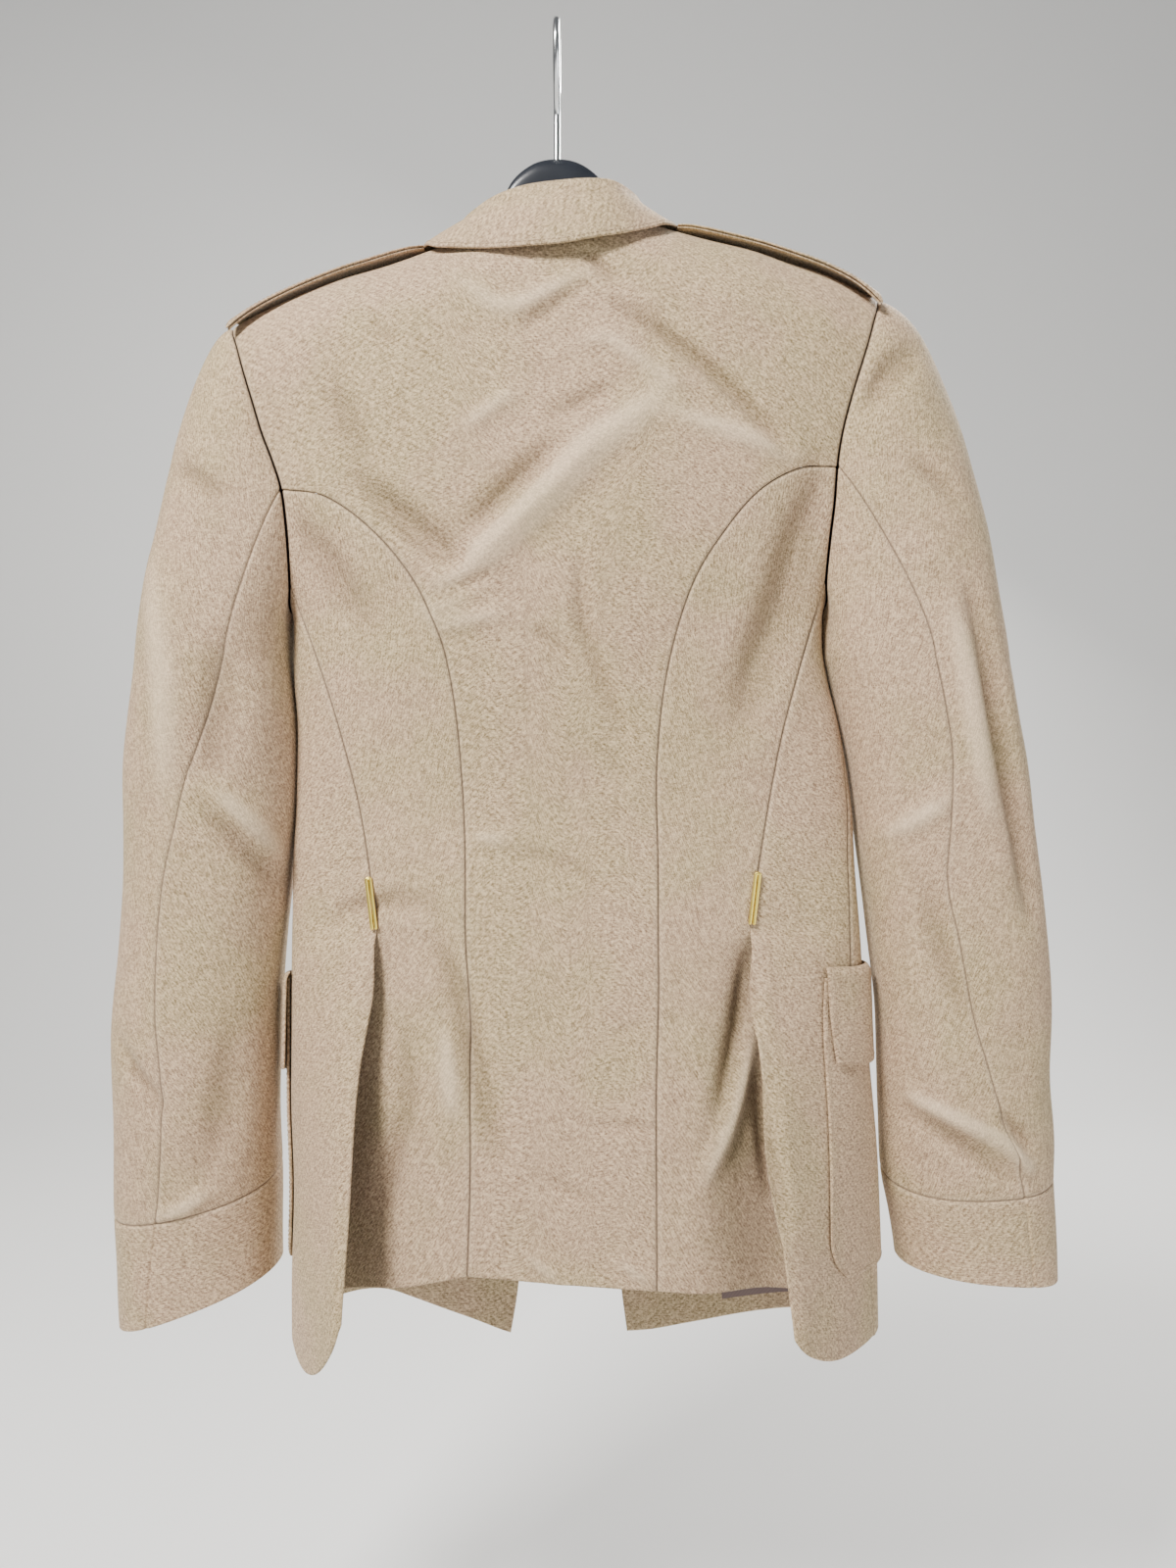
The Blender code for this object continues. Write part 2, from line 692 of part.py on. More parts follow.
# Sleeves
def ring_points(row, angles, side):
    """Ring of a sleeve: 0 is the outer side, 90 the back, 180 the inner side and 270 the front."""
    outer_x, outer_z, inner_x, inner_z, middle, half, _, drop = row
    cosine, sine = full(np.cos(np.radians(angles))), full(np.sin(np.radians(angles)))
    share = (1 + cosine) / 2
    return np.stack(
        [
            inner_x + (outer_x - inner_x) * share,
            middle - half * sine,
            inner_z + (outer_z - inner_z) * share - drop * sine,
        ],
        axis=-1,
    )


def column_angles(row):
    """Angles of the ring's columns, so that one column runs down the hindarm seam."""
    hind = row[6]
    back = np.concatenate([np.linspace(0, hind, 9), np.linspace(hind, 180, 6)[1:]])
    front = np.linspace(180, 360, 14)[1:-1]
    return np.concatenate([back, front])


def sleeve_grid(side):
    hole = ARMHOLE[side]
    back = torso(back_angle(hole[:, 0], hole[:, 1]), hole[:, 1])
    front = torso(front_angle(hole[::-1, 2], hole[::-1, 3]), hole[::-1, 3])
    start = np.concatenate([back, front[1:-1]])
    sign = -1 if side == "left" else 1
    start[:, 0] += sign * GAP
    first = ring_points(SLEEVE[side][0], column_angles(SLEEVE[side][0]), side)
    lower = np.concatenate([np.linspace(0, 1, 14), np.linspace(1, 0, 14)[1:-1]])
    turn = np.concatenate([np.linspace(0, 180, 14), np.linspace(180, 360, 14)[1:-1]])
    fall = start[:, 2] - first[:, 2]
    leave = np.stack(
        [
            sign * CAP_PUSH[side] * (1 - lower) ** 1.5,
            -26 * np.sin(np.radians(turn)),
            -20 - 0.35 * fall * lower,
        ],
        axis=-1,
    )
    arrive = np.stack([sign * 14 * (1 - lower), 0 * lower, -0.75 * fall], axis=-1)
    rings = []
    for t in CAP_STEPS:
        rings.append(
            start * (1 + 2 * t) * (1 - t) ** 2
            + first * t * t * (3 - 2 * t)
            + leave * t * (1 - t) ** 2
            - arrive * t * t * (1 - t)
        )
    for row in SLEEVE[side][1:]:
        rings.append(ring_points(row, column_angles(row), side))
    return np.stack(rings)


def toward(points, index, other, amount):
    """Moves one column of a grid by an amount to another column, square to its own line."""
    run = np.gradient(points[:, index], axis=0)
    run /= np.linalg.norm(run, axis=1, keepdims=True)
    step = points[:, other] - points[:, index]
    step -= run * (step * run).sum(axis=1, keepdims=True)
    return points[:, index] + step / np.linalg.norm(step, axis=1, keepdims=True) * amount


def build_sleeves():
    for side in ("left", "right"):
        outer = sleeve_grid(side)
        normal = grid_normals(outer, True)
        middle = outer.mean(axis=1, keepdims=True)
        if (normal[8] * (outer - middle)[8]).sum() < 0:
            normal = -normal
        inner = outer - normal * WALL
        inward = middle[0] - outer[0]
        inward[:, 0] = 0
        inner[0] = outer[0] + inward / np.linalg.norm(inward, axis=1, keepdims=True) * WALL
        cuff = len(CAP_STEPS) - 1 + CUFF_RING
        pieces = (
            ("under_sleeve_" + side, list(range(8, FOREARM_COLUMN + 1))),
            ("top_sleeve_" + side, list(range(FOREARM_COLUMN, 26)) + list(range(0, 9))),
        )
        for name, columns in pieces:
            faces = []
            for points in (outer, inner):
                part = points[: cuff + 1, columns].copy()
                part[:, 0] = toward(part.copy(), 0, 1, GAP / 2)
                part[:, -1] = toward(part.copy(), -1, -2, GAP / 2)
                faces.append(part)
            wall(name, faces[0], faces[1], cloth(name))
        rest_outer, rest_inner = outer[cuff:].copy(), inner[cuff:].copy()
        rest_outer[0, :, 2] -= GAP
        rest_inner[0, :, 2] -= GAP
        wall("cuff_" + side, rest_outer, rest_inner, cloth("cuff_" + side), closed=True)


# Pockets and flaps, made from the points of the panels under them
def on_grid(grid, row, column):
    """Point of a grid at fractional rows and columns, on the flat pieces between its points."""
    k = np.clip(np.floor(row).astype(int), 0, grid.shape[0] - 2)
    m = np.clip(np.floor(column).astype(int), 0, grid.shape[1] - 2)
    a, b = (row - k)[..., None], (column - m)[..., None]
    upper = grid[k, m] * (1 - b) + grid[k, m + 1] * b
    lower = grid[k + 1, m] * (1 - b) + grid[k + 1, m + 1] * b
    return upper * (1 - a) + lower * a


def build_pockets():
    for side in ("left", "right"):
        hip, chest = GRIDS["side_panel_" + side], GRIDS["front_" + side][-len(ROWS[side]) :]
        seam = (hip[:, -1:] + chest[:, :1]) / 2
        body = np.concatenate([hip[:, :-1], seam, chest[:, 1:]], axis=1)
        normal = grid_normals(body, False)
        if (normal[11, 12, 1]) < 0:
            normal = -normal
        spec = POCKET[side]
        columns = np.arange(spec["rear"], spec["front"] + 1)
        rows = np.array([spec["top"], 10, 10.5, 11, 11.5, 12, 12.3, spec["bottom"]])
        row = rows[:, None] + 0 * columns
        # Rounded lower corners
        row[-1, [0, -1]] -= 0.14
        row[-2, [0, -1]] -= 0.05
        place = row, columns + 0 * row
        base, out = on_grid(body, *place), on_grid(normal, *place)
        name = "patch_pocket_" + side
        wall(name, base + out * (GAP + WALL), base + out * GAP, cloth(name))

        spec = FLAP[side]
        inside = np.arange(math.floor(spec["rear"]) + 1, spec["front"])
        columns = np.concatenate([[spec["rear"]], inside, [spec["front"]]])
        top = POCKET[side]["top"]
        rows = np.array([spec["top"], top - 0.07, top + 0.1, 10, 10.4, spec["bottom"]])
        row = rows[:, None] + 0 * columns
        place = row, columns + 0 * row
        base, out = on_grid(body, *place), on_grid(normal, *place)
        lift = np.array([GAP, 2.9, 3.0, 3.0, 3.1, 3.2])[:, None, None]
        name = "pocket_flap_" + side
        wall(name, base + out * (lift + WALL), base + out * lift, cloth(name))


# Shoulder straps
def build_straps():
    for side in ("left", "right"):
        near, far = STRAP_ENDS[side]
        share = np.linspace(0, 1, 9)
        across = near + (far - near) * share
        half = STRAP_WIDTH / 2
        # The neck end is cut to a blunt point under the button
        width = half * np.array([0.45, 0.82] + [1.0] * 7)
        places = np.array([-1.0, -0.5, 0.0, 0.5, 1.0])
        depth = width[:, None] * places
        deep = np.abs(torso(back_angle(across, across * 0 - 250), across * 0 - 250)[:, 1])
        ratio = np.clip(np.abs(depth) / (deep[:, None] + 12), 0, 0.9)
        sag = SHOULDER_ROUND * (1 - np.sqrt(1 - ratio**2)) * 0.62
        rise = STRAP_RISE * np.sin(np.pi * share) + GAP + 0.6
        level = shoulder_height(across)[:, None] + rise[:, None] - sag
        under = np.stack([across[:, None] + 0 * depth, depth, level], axis=-1)
        over = under + np.array([0.0, 0.0, STRAP_PLIES])
        name = "shoulder_strap_" + side
        wall(name, over, under, cloth(name))
        spot = over[1, 2] * 0.5 + over[2, 2] * 0.5
        tilt = over[2, 2] - over[1, 2]
        normal = np.cross(np.array([0.0, 1.0, 0.0]), tilt)
        normal *= np.sign(normal[2]) / np.linalg.norm(normal)
        build_button("strap_button_" + side, spot + normal * GAP, normal, STRAP_BUTTON)


def build_button(name, centre, normal, spec):
    """Domed brass button turned round the normal."""
    radius, height = spec["diameter"] / 2, spec["height"]
    profile = [(0.55, 0.0), (0.55, 0.22), (0.98, 0.26), (1.0, 0.4), (0.86, 0.68), (0.5, 0.93)]
    steps = 16
    side = np.cross(normal, [0.0, 0.3, 1.0])
    side /= np.linalg.norm(side)
    other = np.cross(normal, side)
    turn = np.arange(steps) * 2 * np.pi / steps
    rings = [
        centre + radius * r * (np.outer(np.cos(turn), side) + np.outer(np.sin(turn), other)) + normal * height * z
        for r, z in profile
    ]
    points = np.concatenate(rings + [[centre + normal * height]]) * MM
    faces = [tuple(range(steps))[::-1]]
    for k in range(len(profile) - 1):
        for i in range(steps):
            j = (i + 1) % steps
            faces.append((k * steps + i, k * steps + j, (k + 1) * steps + j, (k + 1) * steps + i))
    top = len(profile) * steps
    last = (len(profile) - 1) * steps
    faces += [(last + i, last + (i + 1) % steps, top) for i in range(steps)]
    mesh = bpy.data.meshes.new(name)
    mesh.from_pydata(points.tolist(), [], faces)
    shape = bmesh.new()
    shape.from_mesh(mesh)
    if shape.calc_volume(signed=True) < 0:
        bmesh.ops.reverse_faces(shape, faces=shape.faces)
    shape.to_mesh(mesh)
    shape.free()
    mesh.polygons.foreach_set("use_smooth", [len(face) < 5 for face in faces])
    add_object(name, mesh, material_for(name + "_brass", BRASS, 1.0, 0.25))


def build_front_buttons():
    for k, height in enumerate(FRONT_BUTTON["heights"]):
        across = FRONT_BUTTON["across"] + np.array([0.0, 6.0, 0.0])
        level = height + np.array([0.0, 0.0, 6.0])
        spot, beside, above = torso(front_angle(across, level), level)
        normal = np.cross(above - spot, beside - spot)
        normal *= np.sign(normal[1]) / np.linalg.norm(normal)
        build_button("front_button_%d" % (k + 1), spot + normal * (GAP + 0.3), normal, FRONT_BUTTON)


def wire(name, points, diameter, material):
    """Round wire along a line of points, with filled ends."""
    curve = bpy.data.curves.new(name, "CURVE")
    curve.dimensions = "3D"
    curve.bevel_depth = diameter / 2 * MM
    curve.bevel_resolution = 2
    curve.use_fill_caps = True
    line = curve.splines.new("POLY")
    line.points.add(len(points) - 1)
    for spot, point in zip(line.points, points):
        spot.co = (*(np.asarray(point) * MM), 1.0)
    thing = bpy.data.objects.new(name, curve)
    curve.materials.append(material)
    JACKET.objects.link(thing)
    return thing


# Belt hooks
def build_belt_hooks():
    for side in ("left", "right"):
        spec = BELT_HOOK[side]
        ends = []
        for across, height in (spec["top"], spec["bottom"]):
            ends.append(torso(back_angle(across, height), height, 0.0, "back") - [0.0, BELT_RISE, 0.0])
        top, bottom = ends
        run = (bottom - top) / np.linalg.norm(bottom - top)
        beside = np.cross(run, [0.0, 1.0, 0.0])
        beside /= np.linalg.norm(beside)
        arc = []
        for turn in np.linspace(0, np.pi, 7):
            arc.append(top - run * math.sin(turn) * BELT_PITCH / 2 + beside * math.cos(turn) * BELT_PITCH / 2)
        legs = [bottom + beside * BELT_PITCH / 2, (top + bottom) / 2 + beside * BELT_PITCH / 2]
        other = [(top + bottom) / 2 - beside * BELT_PITCH / 2, bottom - beside * BELT_PITCH / 2]
        name = "belt_hook_" + side
        wire(name, legs + arc + other, BELT_WIRE, material_for(name + "_brass", BRASS, 1.0, 0.3))


# Hanger and its hook
def build_hanger():
    steps = 10
    turn = np.arange(steps) * 2 * np.pi / steps + np.pi / steps
    rings = []
    for across, high, low, half in HANGER:
        middle, tall = (high + low) / 2, (high - low) / 2
        section = np.stack([np.sign(np.cos(turn)) * np.abs(np.cos(turn)) ** 0.9, np.abs(np.sin(turn)) ** 0.75], axis=1)
        rings.append(
            np.stack(
                [
                    across + 0 * turn,
                    half * section[:, 0],
                    middle + tall * np.sign(np.sin(turn)) * section[:, 1],
                ],
                axis=-1,
            )
        )
    points = np.concatenate(rings) * MM
    faces = [tuple(range(steps)), tuple(range(len(points) - steps, len(points)))[::-1]]
    for k in range(len(rings) - 1):
        for i in range(steps):
            j = (i + 1) % steps
            faces.append((k * steps + i, (k + 1) * steps + i, (k + 1) * steps + j, k * steps + j))
    mesh = bpy.data.meshes.new("hanger_body")
    mesh.from_pydata(points.tolist(), [], faces)
    shape = bmesh.new()
    shape.from_mesh(mesh)
    if shape.calc_volume(signed=True) < 0:
        bmesh.ops.reverse_faces(shape, faces=shape.faces)
    shape.to_mesh(mesh)
    shape.free()
    mesh.polygons.foreach_set("use_smooth", [len(face) < 5 for face in faces])
    body = add_object("hanger_body", mesh, material_for("hanger_body_plastic", BLACK, 0.0, 0.3))

    bpy.ops.mesh.primitive_cylinder_add(
        vertices=16,
        radius=(HOOK_WIRE / 2 + GAP) * MM,
        depth=2 * SOCKET_DEPTH * MM,
        location=(0, 0, -80.0 * MM),
    )
    cutter = bpy.context.object
    cutter.name = "hook_socket_cutter"
    for holder in cutter.users_collection:
        holder.objects.unlink(cutter)
    CUTTERS.objects.link(cutter)
    cutter.hide_render = True
    socket = body.modifiers.new("hook_socket", "BOOLEAN")
    socket.operation = "DIFFERENCE"
    socket.solver = "EXACT"
    socket.object = cutter

    radius = HOOK_INNER + HOOK_WIRE / 2
    path = []
    for turn in np.linspace(-35, 180, 12):
        angle = math.radians(turn)
        path.append((0.0, radius * math.cos(angle), -HOOK_INNER + radius * math.sin(angle)))
    path += [(0.0, -18.0, -28.0), (0.0, -12.0, -38.0), (0.0, -4.5, -46.0), (0.0, -0.8, -51.0), (0.0, 0.0, -56.0)]
    path += [(0.0, 0.0, -75.0), (0.0, 0.0, -80.0 - SOCKET_DEPTH + GAP)]
    wire("hanger_hook", path, HOOK_WIRE, material_for("hanger_hook_steel", STEEL, 1.0, 0.2))


for old in list(bpy.data.objects):
    bpy.data.objects.remove(old, do_unlink=True)

GRIDS = {}
JACKET = make_collection("dress_uniform_jacket")
CUTTERS = make_collection("cutters")
CUTTERS.hide_render = True

build_back()
build_sides()
build_fronts()
build_collar()
build_sleeves()
build_pockets()
build_straps()
build_front_buttons()
build_belt_hooks()
build_hanger()
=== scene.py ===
import math

import bpy
import numpy as np
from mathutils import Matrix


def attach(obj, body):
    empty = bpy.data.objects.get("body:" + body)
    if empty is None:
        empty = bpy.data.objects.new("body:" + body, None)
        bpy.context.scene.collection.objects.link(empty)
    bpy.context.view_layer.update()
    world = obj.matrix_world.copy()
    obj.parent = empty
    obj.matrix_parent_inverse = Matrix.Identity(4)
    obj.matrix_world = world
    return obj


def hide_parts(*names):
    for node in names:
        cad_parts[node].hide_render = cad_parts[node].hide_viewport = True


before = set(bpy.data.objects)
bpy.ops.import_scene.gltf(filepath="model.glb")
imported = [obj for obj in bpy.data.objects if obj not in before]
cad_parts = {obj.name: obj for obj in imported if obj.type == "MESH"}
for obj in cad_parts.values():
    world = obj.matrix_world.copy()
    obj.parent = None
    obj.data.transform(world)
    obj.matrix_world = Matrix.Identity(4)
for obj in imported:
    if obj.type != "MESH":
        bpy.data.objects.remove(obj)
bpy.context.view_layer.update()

# Back panels. Wool twill, three pieces: a centre back and two side backs, joined by curved princess seams
# that run from the armhole to the hem. Each is a thin shell on the form of its solid, with its sewn edges
# turned in, and with the creases that the cloth has taken on the hanger.

# Lengths are in millimetres and angles in degrees. A ring of the body is an ellipse made fuller by a power
# under 1, and the body narrows to the shoulder line over the last part of its height.
MM = 0.001
CLOTH_THICK = 1.8
GAP = 0.3
FULLNESS = 0.87
SHOULDER_ROUND = 55.0
BODY_CENTRE = np.array([10.0, 0.0, 0.0])

# Torso rings: height, half width left and right, depth to the back and to the front
TORSO = np.array(
    [
        (-90, 216, 214, 43, 40),
        (-135, 216, 214, 45, 42),
        (-184, 215, 213, 50, 46),
        (-219, 213, 210, 51, 48),
        (-251, 208, 203, 52, 50),
        (-290, 194, 187, 53, 54),
        (-320, 180, 175, 52, 55),
        (-345, 167, 166, 51, 56),
        (-358, 161, 162, 50, 55),
        (-378, 159.5, 161, 48, 54),
        (-400, 160, 164.5, 46, 52),
        (-426, 158.4, 171, 44, 48),
        (-450, 158, 176.2, 42, 46),
        (-476, 158.2, 180, 41, 44),
        (-510, 160.5, 181.5, 43, 45),
        (-546, 161.5, 184, 46, 46),
        (-606, 162, 186.5, 50, 48),
        (-654, 161.5, 190, 54, 49),
        (-700, 160.5, 193, 56, 50),
        (-762, 160.5, 195.5, 57, 51),
        (-840, 161, 198, 58, 52),
    ]
)

# Shoulder line over the hanger: across, height
SHOULDER = np.array(
    [
        (-240, -205), (-197, -184), (-180, -175.5), (-160, -167), (-143, -160.5), (-126, -154.5),
        (-107, -148.8), (-87, -142.4), (-67, -135.5), (-40, -124), (0, -112), (40, -114), (63, -124.5),
        (80, -129.2), (100, -134.2), (120, -139), (140, -144.8), (160, -151), (178, -158.3), (195, -167.5),
        (240, -190),
    ]
)

# Armhole from the shoulder point down to the underarm: back across, back height, front across, front height
ARMHOLE = {
    "left": np.array(
        [
            (-197, -184, -197, -184),
            (-196.5, -186.5, -196, -186.5),
            (-194.5, -192, -193, -192),
            (-190, -202, -187, -203),
            (-184, -219, -178, -221),
            (-178, -237, -169, -239),
            (-172, -256, -161, -258),
            (-165, -274, -155, -277),
            (-160, -290, -151, -296),
            (-158, -308, -150, -316),
            (-157.5, -327, -152.5, -334),
            (-158.5, -344, -156.5, -348),
            (-161.3, -353.5, -161, -355),
            (-161, -358, -161, -358),
        ]
    ),
    "right": np.array(
        [
            (195, -167.5, 195, -167.5),
            (194.5, -170, 194, -170),
            (193, -176, 191.5, -176),
            (189, -187, 186, -187),
            (183.5, -204, 177, -206),
            (177.5, -222, 168, -225),
            (172, -240, 160, -245),
            (167.5, -258, 154, -265),
            (165, -276, 150, -286),
            (164, -297, 149.5, -308),
            (162, -319, 152, -329),
            (161, -340, 156.5, -346),
            (163.3, -350, 162.6, -353),
            (162, -357, 162, -357),
        ]
    ),
}
PRINCESS_AT = 8
SIDE_BACK_AT = 11
UNDERARM_AT = 13

# Rows down the back: princess seam, side-back seam, hidden edge of the back skirt (across, height), side seam
# (angle, height). The first nine rows are sewn. Below them the vent is open.
ROWS = {
    "left": np.array(
        [
            (-160, -290, -158.5, -344, -158.5, -344, -90, -358),
            (-133, -296, -152.5, -360, -152.5, -360, -90.5, -372),
            (-105, -316, -144, -381, -144, -381, -91.5, -392),
            (-82, -344, -134.5, -408, -134.5, -408, -92.5, -416),
            (-66, -378, -125.5, -436, -125.5, -436, -94, -442),
            (-58, -417, -117, -468, -117, -468, -95, -472),
            (-54, -462, -110.5, -500, -110.5, -500, -96, -503),
            (-52, -508, -106, -530, -106, -530, -97, -532),
            (-51.5, -545, -104, -545, -104, -545, -97, -546),
            (-51, -560, -104.4, -557, -107.5, -556, -97, -560),
            (-50, -585, -104, -584, -117, -580, -97, -592),
            (-48, -638, -109.5, -628, -129, -636, -97, -645),
            (-48, -692, -112.4, -692, -134, -697, -97, -705),
            (-49.5, -741, -114.4, -757, -137, -766, -97, -793),
        ]
    ),
    "right": np.array(
        [
            (165, -276, 161, -340, 161, -340, 90, -357),
            (143, -278.5, 155.5, -356, 155.5, -356, 88.5, -371),
            (119, -292, 148.5, -377, 148.5, -377, 87, -391),
            (98, -316, 141, -403, 141, -403, 84.5, -415),
            (79, -348, 133, -434, 133, -434, 81.5, -441),
            (65, -396, 126.5, -466, 126.5, -466, 78, -471),
            (59, -448, 120.5, -499, 120.5, -499, 74.5, -502),
            (59.5, -505, 115.5, -529, 115.5, -529, 72.5, -531),
            (59.5, -543, 113.4, -543, 113.4, -543, 71.5, -545),
            (59.5, -560, 113.4, -556, 117, -555, 71, -560),
            (59.5, -585, 112, -588, 127, -580, 71, -592),
            (58, -638, 117, -632, 140, -636, 72, -645),
            (58, -692, 123, -692, 146, -697, 73, -705),
            (58, -749, 130, -762, 150, -761, 74, -790),
        ]
    ),
}

# Vent: height, lift of the side panel's edge to the rear, tuck of the back skirt's edge to the inside. The
# lift starts at a ring angle, and the tuck at a distance across. The vent opens just below the belt hook.
VENT = np.array(
    [
        (-300, 0, 0), (-520, 0, 0), (-540, 0, 0), (-545, 0, 0), (-557, 6, 4), (-584, 13, 8), (-610, 19, 10),
        (-650, 29, 13), (-700, 38, 15), (-760, 44, 16), (-840, 46, 16),
    ]
)
LIFT_FROM = 78.0
LIFT_POWER = 1.7
TUCK_FROM = 78.0
TUCK_REACH = 50.0
VENT_TOP = -546.0
VENT_OPENING = 8.0

# Neck seam of the back: across, height
NECK = np.array(
    [
        (-67, -135.5), (-62, -137), (-55, -139), (-38, -143), (-18, -145.5), (3, -146), (22, -143.5),
        (38, -139), (52, -132.5), (59, -127.5), (63, -124.5),
    ]
)

# Creases of the back, each a run of (across, height) places with its depth and half width. A trough is
# negative and a ridge positive.
BACK_CREASES = [
    (-3.0, 6.0, [(35, -188), (59, -202), (83, -220), (103, -237), (121, -255), (133, -267)]),
    (-1.8, 5.0, [(16, -157), (39, -176)]),
    (1.5, 9.0, [(-56, -172), (-26, -190), (21, -170)]),
    (-1.2, 6.0, [(-18, -202), (16, -177)]),
    (1.2, 8.0, [(11, -211), (29, -208), (46, -219), (71, -234)]),
    (1.2, 7.0, [(-53, -260), (-21, -238)]),
    (-1.2, 6.0, [(-4, -254), (34, -235)]),
    (2.8, 13.0, [(61, -238), (44, -254), (21, -271), (-1, -294), (-21, -313), (-41, -331), (-71, -363)]),
    (-2.4, 9.0, [(-51, -318), (-1, -269)]),
    (-3.2, 11.0, [(-112, -288), (-84, -312), (-53, -337)]),
    (1.6, 9.0, [(64, -249), (100, -260), (138, -273)]),
    (-1.6, 6.0, [(14, -333), (16, -368), (24, -393), (34, -418), (41, -438)]),
    (-1.3, 5.0, [(-16, -373), (9, -388)]),
    (-1.5, 6.0, [(-71, -357), (-36, -342)]),
    (1.2, 7.0, [(-66, -373), (-28, -363)]),
    (-3.6, 15.0, [(156, -283), (140, -324), (131, -358), (118, -393), (108, -425)]),
    (-2.4, 14.0, [(-153, -306), (-130, -338), (-108, -370)]),
    (-2.0, 12.0, [(-130, -229), (-119, -254), (-108, -279)]),
    (-1.2, 5.0, [(-108, -192), (-88, -214)]),
    (1.3, 6.0, [(-48, -492), (-26, -495)]),
    (-1.5, 5.0, [(-26, -502), (1, -506), (29, -521)]),
    (-1.0, 5.0, [(26, -439), (41, -461)]),
    (-1.6, 7.0, [(-135, -546), (-115, -533), (-73, -531), (-63, -543)]),
    (-2.4, 9.0, [(-71, -551), (-56, -578), (-48, -613), (-39, -645), (-31, -675)]),
    (-2.0, 10.0, [(-88, -603), (-86, -645), (-93, -677), (-98, -707)]),
    (1.6, 9.0, [(-62, -603), (-58, -652)]),
    (-2.6, 8.0, [(111, -566), (107, -599), (101, -628), (97, -652)]),
    (2.2, 7.0, [(113, -606), (107, -635), (99, -662), (86, -688)]),
    (-2.2, 6.0, [(118, -636), (122, -668), (127, -704)]),
    (-1.0, 5.0, [(24, -655), (59, -659)]),
    (-0.9, 4.0, [(34, -604), (51, -600)]),
    (-1.1, 5.0, [(-4, -685), (21, -700)]),
    (1.1, 5.0, [(-16, -727), (4, -744)]),
    (1.1, 5.0, [(36, -730), (53, -744)]),
]

# Creases of the fronts, of the same kind, from the shoulders and the waist
FRONT_CREASES = [
    (-1.8, 8.0, [(-150, -235), (-128, -262), (-112, -300)]),
    (1.6, 9.0, [(-140, -222), (-112, -252), (-98, -292)]),
    (-1.6, 7.0, [(148, -222), (126, -252), (112, -290)]),
    (1.8, 10.0, [(138, -210), (112, -246), (98, -286)]),
    (-1.6, 7.0, [(-142, -470), (-108, -486), (-66, -484)]),
    (1.3, 8.0, [(-140, -456), (-104, -468), (-70, -462)]),
    (-1.5, 7.0, [(152, -478), (118, -494), (78, -488)]),
    (1.2, 7.0, [(146, -462), (112, -472), (82, -468)]),
    (-1.8, 10.0, [(-118, -520), (-112, -560), (-116, -596)]),
    (-1.8, 10.0, [(122, -520), (118, -560), (124, -596)]),
    (-1.4, 8.0, [(-66, -640), (-60, -700), (-66, -760)]),
    (-1.4, 8.0, [(80, -640), (76, -700), (84, -760)]),
]

# Every crease is made deeper and narrower than its row says. It is part roll and part crest, and it shows on
# the side of the cloth that it belongs to.
CREASE_GAIN = 2.15
CREASE_SLIM = 0.8
ROLL_SHARE = 0.6
CREST_FALL = 1.9
CREST_ROUND = 0.3
SIDE_SHARPNESS = 1.6

# Places near a panel's edge, in from the edge, where its surface needs more points
NEAR_EDGE = np.array([0.0, 0.25, 0.6, 1.1, 1.8, 2.8])
PANEL_STEP = 2.4


def along(table, index):
    """Row of a table at fractional places, on a smooth cubic from row to row."""
    table = np.asarray(table, float)
    index = np.asarray(index, float)
    k = np.clip(np.floor(index).astype(int), 0, len(table) - 2)
    t = (index - k).reshape(index.shape + (1,) * (table.ndim - 1))
    slope = np.gradient(table, axis=0)
    return (
        table[k] * (1 + 2 * t) * (1 - t) ** 2
        + table[k + 1] * t * t * (3 - 2 * t)
        + t * (1 - t) * (slope[k] * (1 - t) - slope[k + 1] * t)
    )


def smooth(places, values, at):
    """Smooth curve through a table. The places rise and the ends are held."""
    places = np.asarray(places, float)
    values = np.asarray(values, float)
    at = np.clip(at, places[0], places[-1])
    slope = np.gradient(values, places)
    k = np.clip(np.searchsorted(places, at, side="right") - 1, 0, len(places) - 2)
    step = places[k + 1] - places[k]
    t = (at - places[k]) / step
    return (
        values[k] * (1 + 2 * t) * (1 - t) ** 2
        + values[k + 1] * t * t * (3 - 2 * t)
        + step * t * (1 - t) * (slope[k] * (1 - t) - slope[k + 1] * t)
    )


def down(table, column, height):
    """Column of a table whose first column is the height, largest first."""
    return smooth(-table[:, 0], table[:, column], -np.asarray(height, float))


def shoulder_height(across):
    return smooth(SHOULDER[:, 0], SHOULDER[:, 1], across)


def full(value):
    """Squares a sine or cosine off a little, so that a ring is fuller than an ellipse."""
    return np.sign(value) * np.abs(value) ** FULLNESS


def half_width(height, right):
    return np.where(right, down(TORSO, 2, height), down(TORSO, 1, height))


def back_angle(across, height):
    """Ring angle of a point on the back: 0 at the centre, 90 at the right side and -90 at the left."""
    ratio = np.abs(across) / half_width(height, np.asarray(across) >= 0)
    turn = np.degrees(np.arcsin(np.clip(ratio, 0, 1) ** (1 / FULLNESS)))
    return np.sign(across) * turn


def front_angle(across, height):
    turn = back_angle(across, height)
    return np.where(np.asarray(across) >= 0, 180 - turn, -180 - turn)


def edge_angle(height, right):
    """Angle of the side panel's vent edge."""
    rows = ROWS["right" if right else "left"]
    across = smooth(-rows[:, 3], rows[:, 2], -np.asarray(height, float))
    return np.abs(back_angle(across, height))


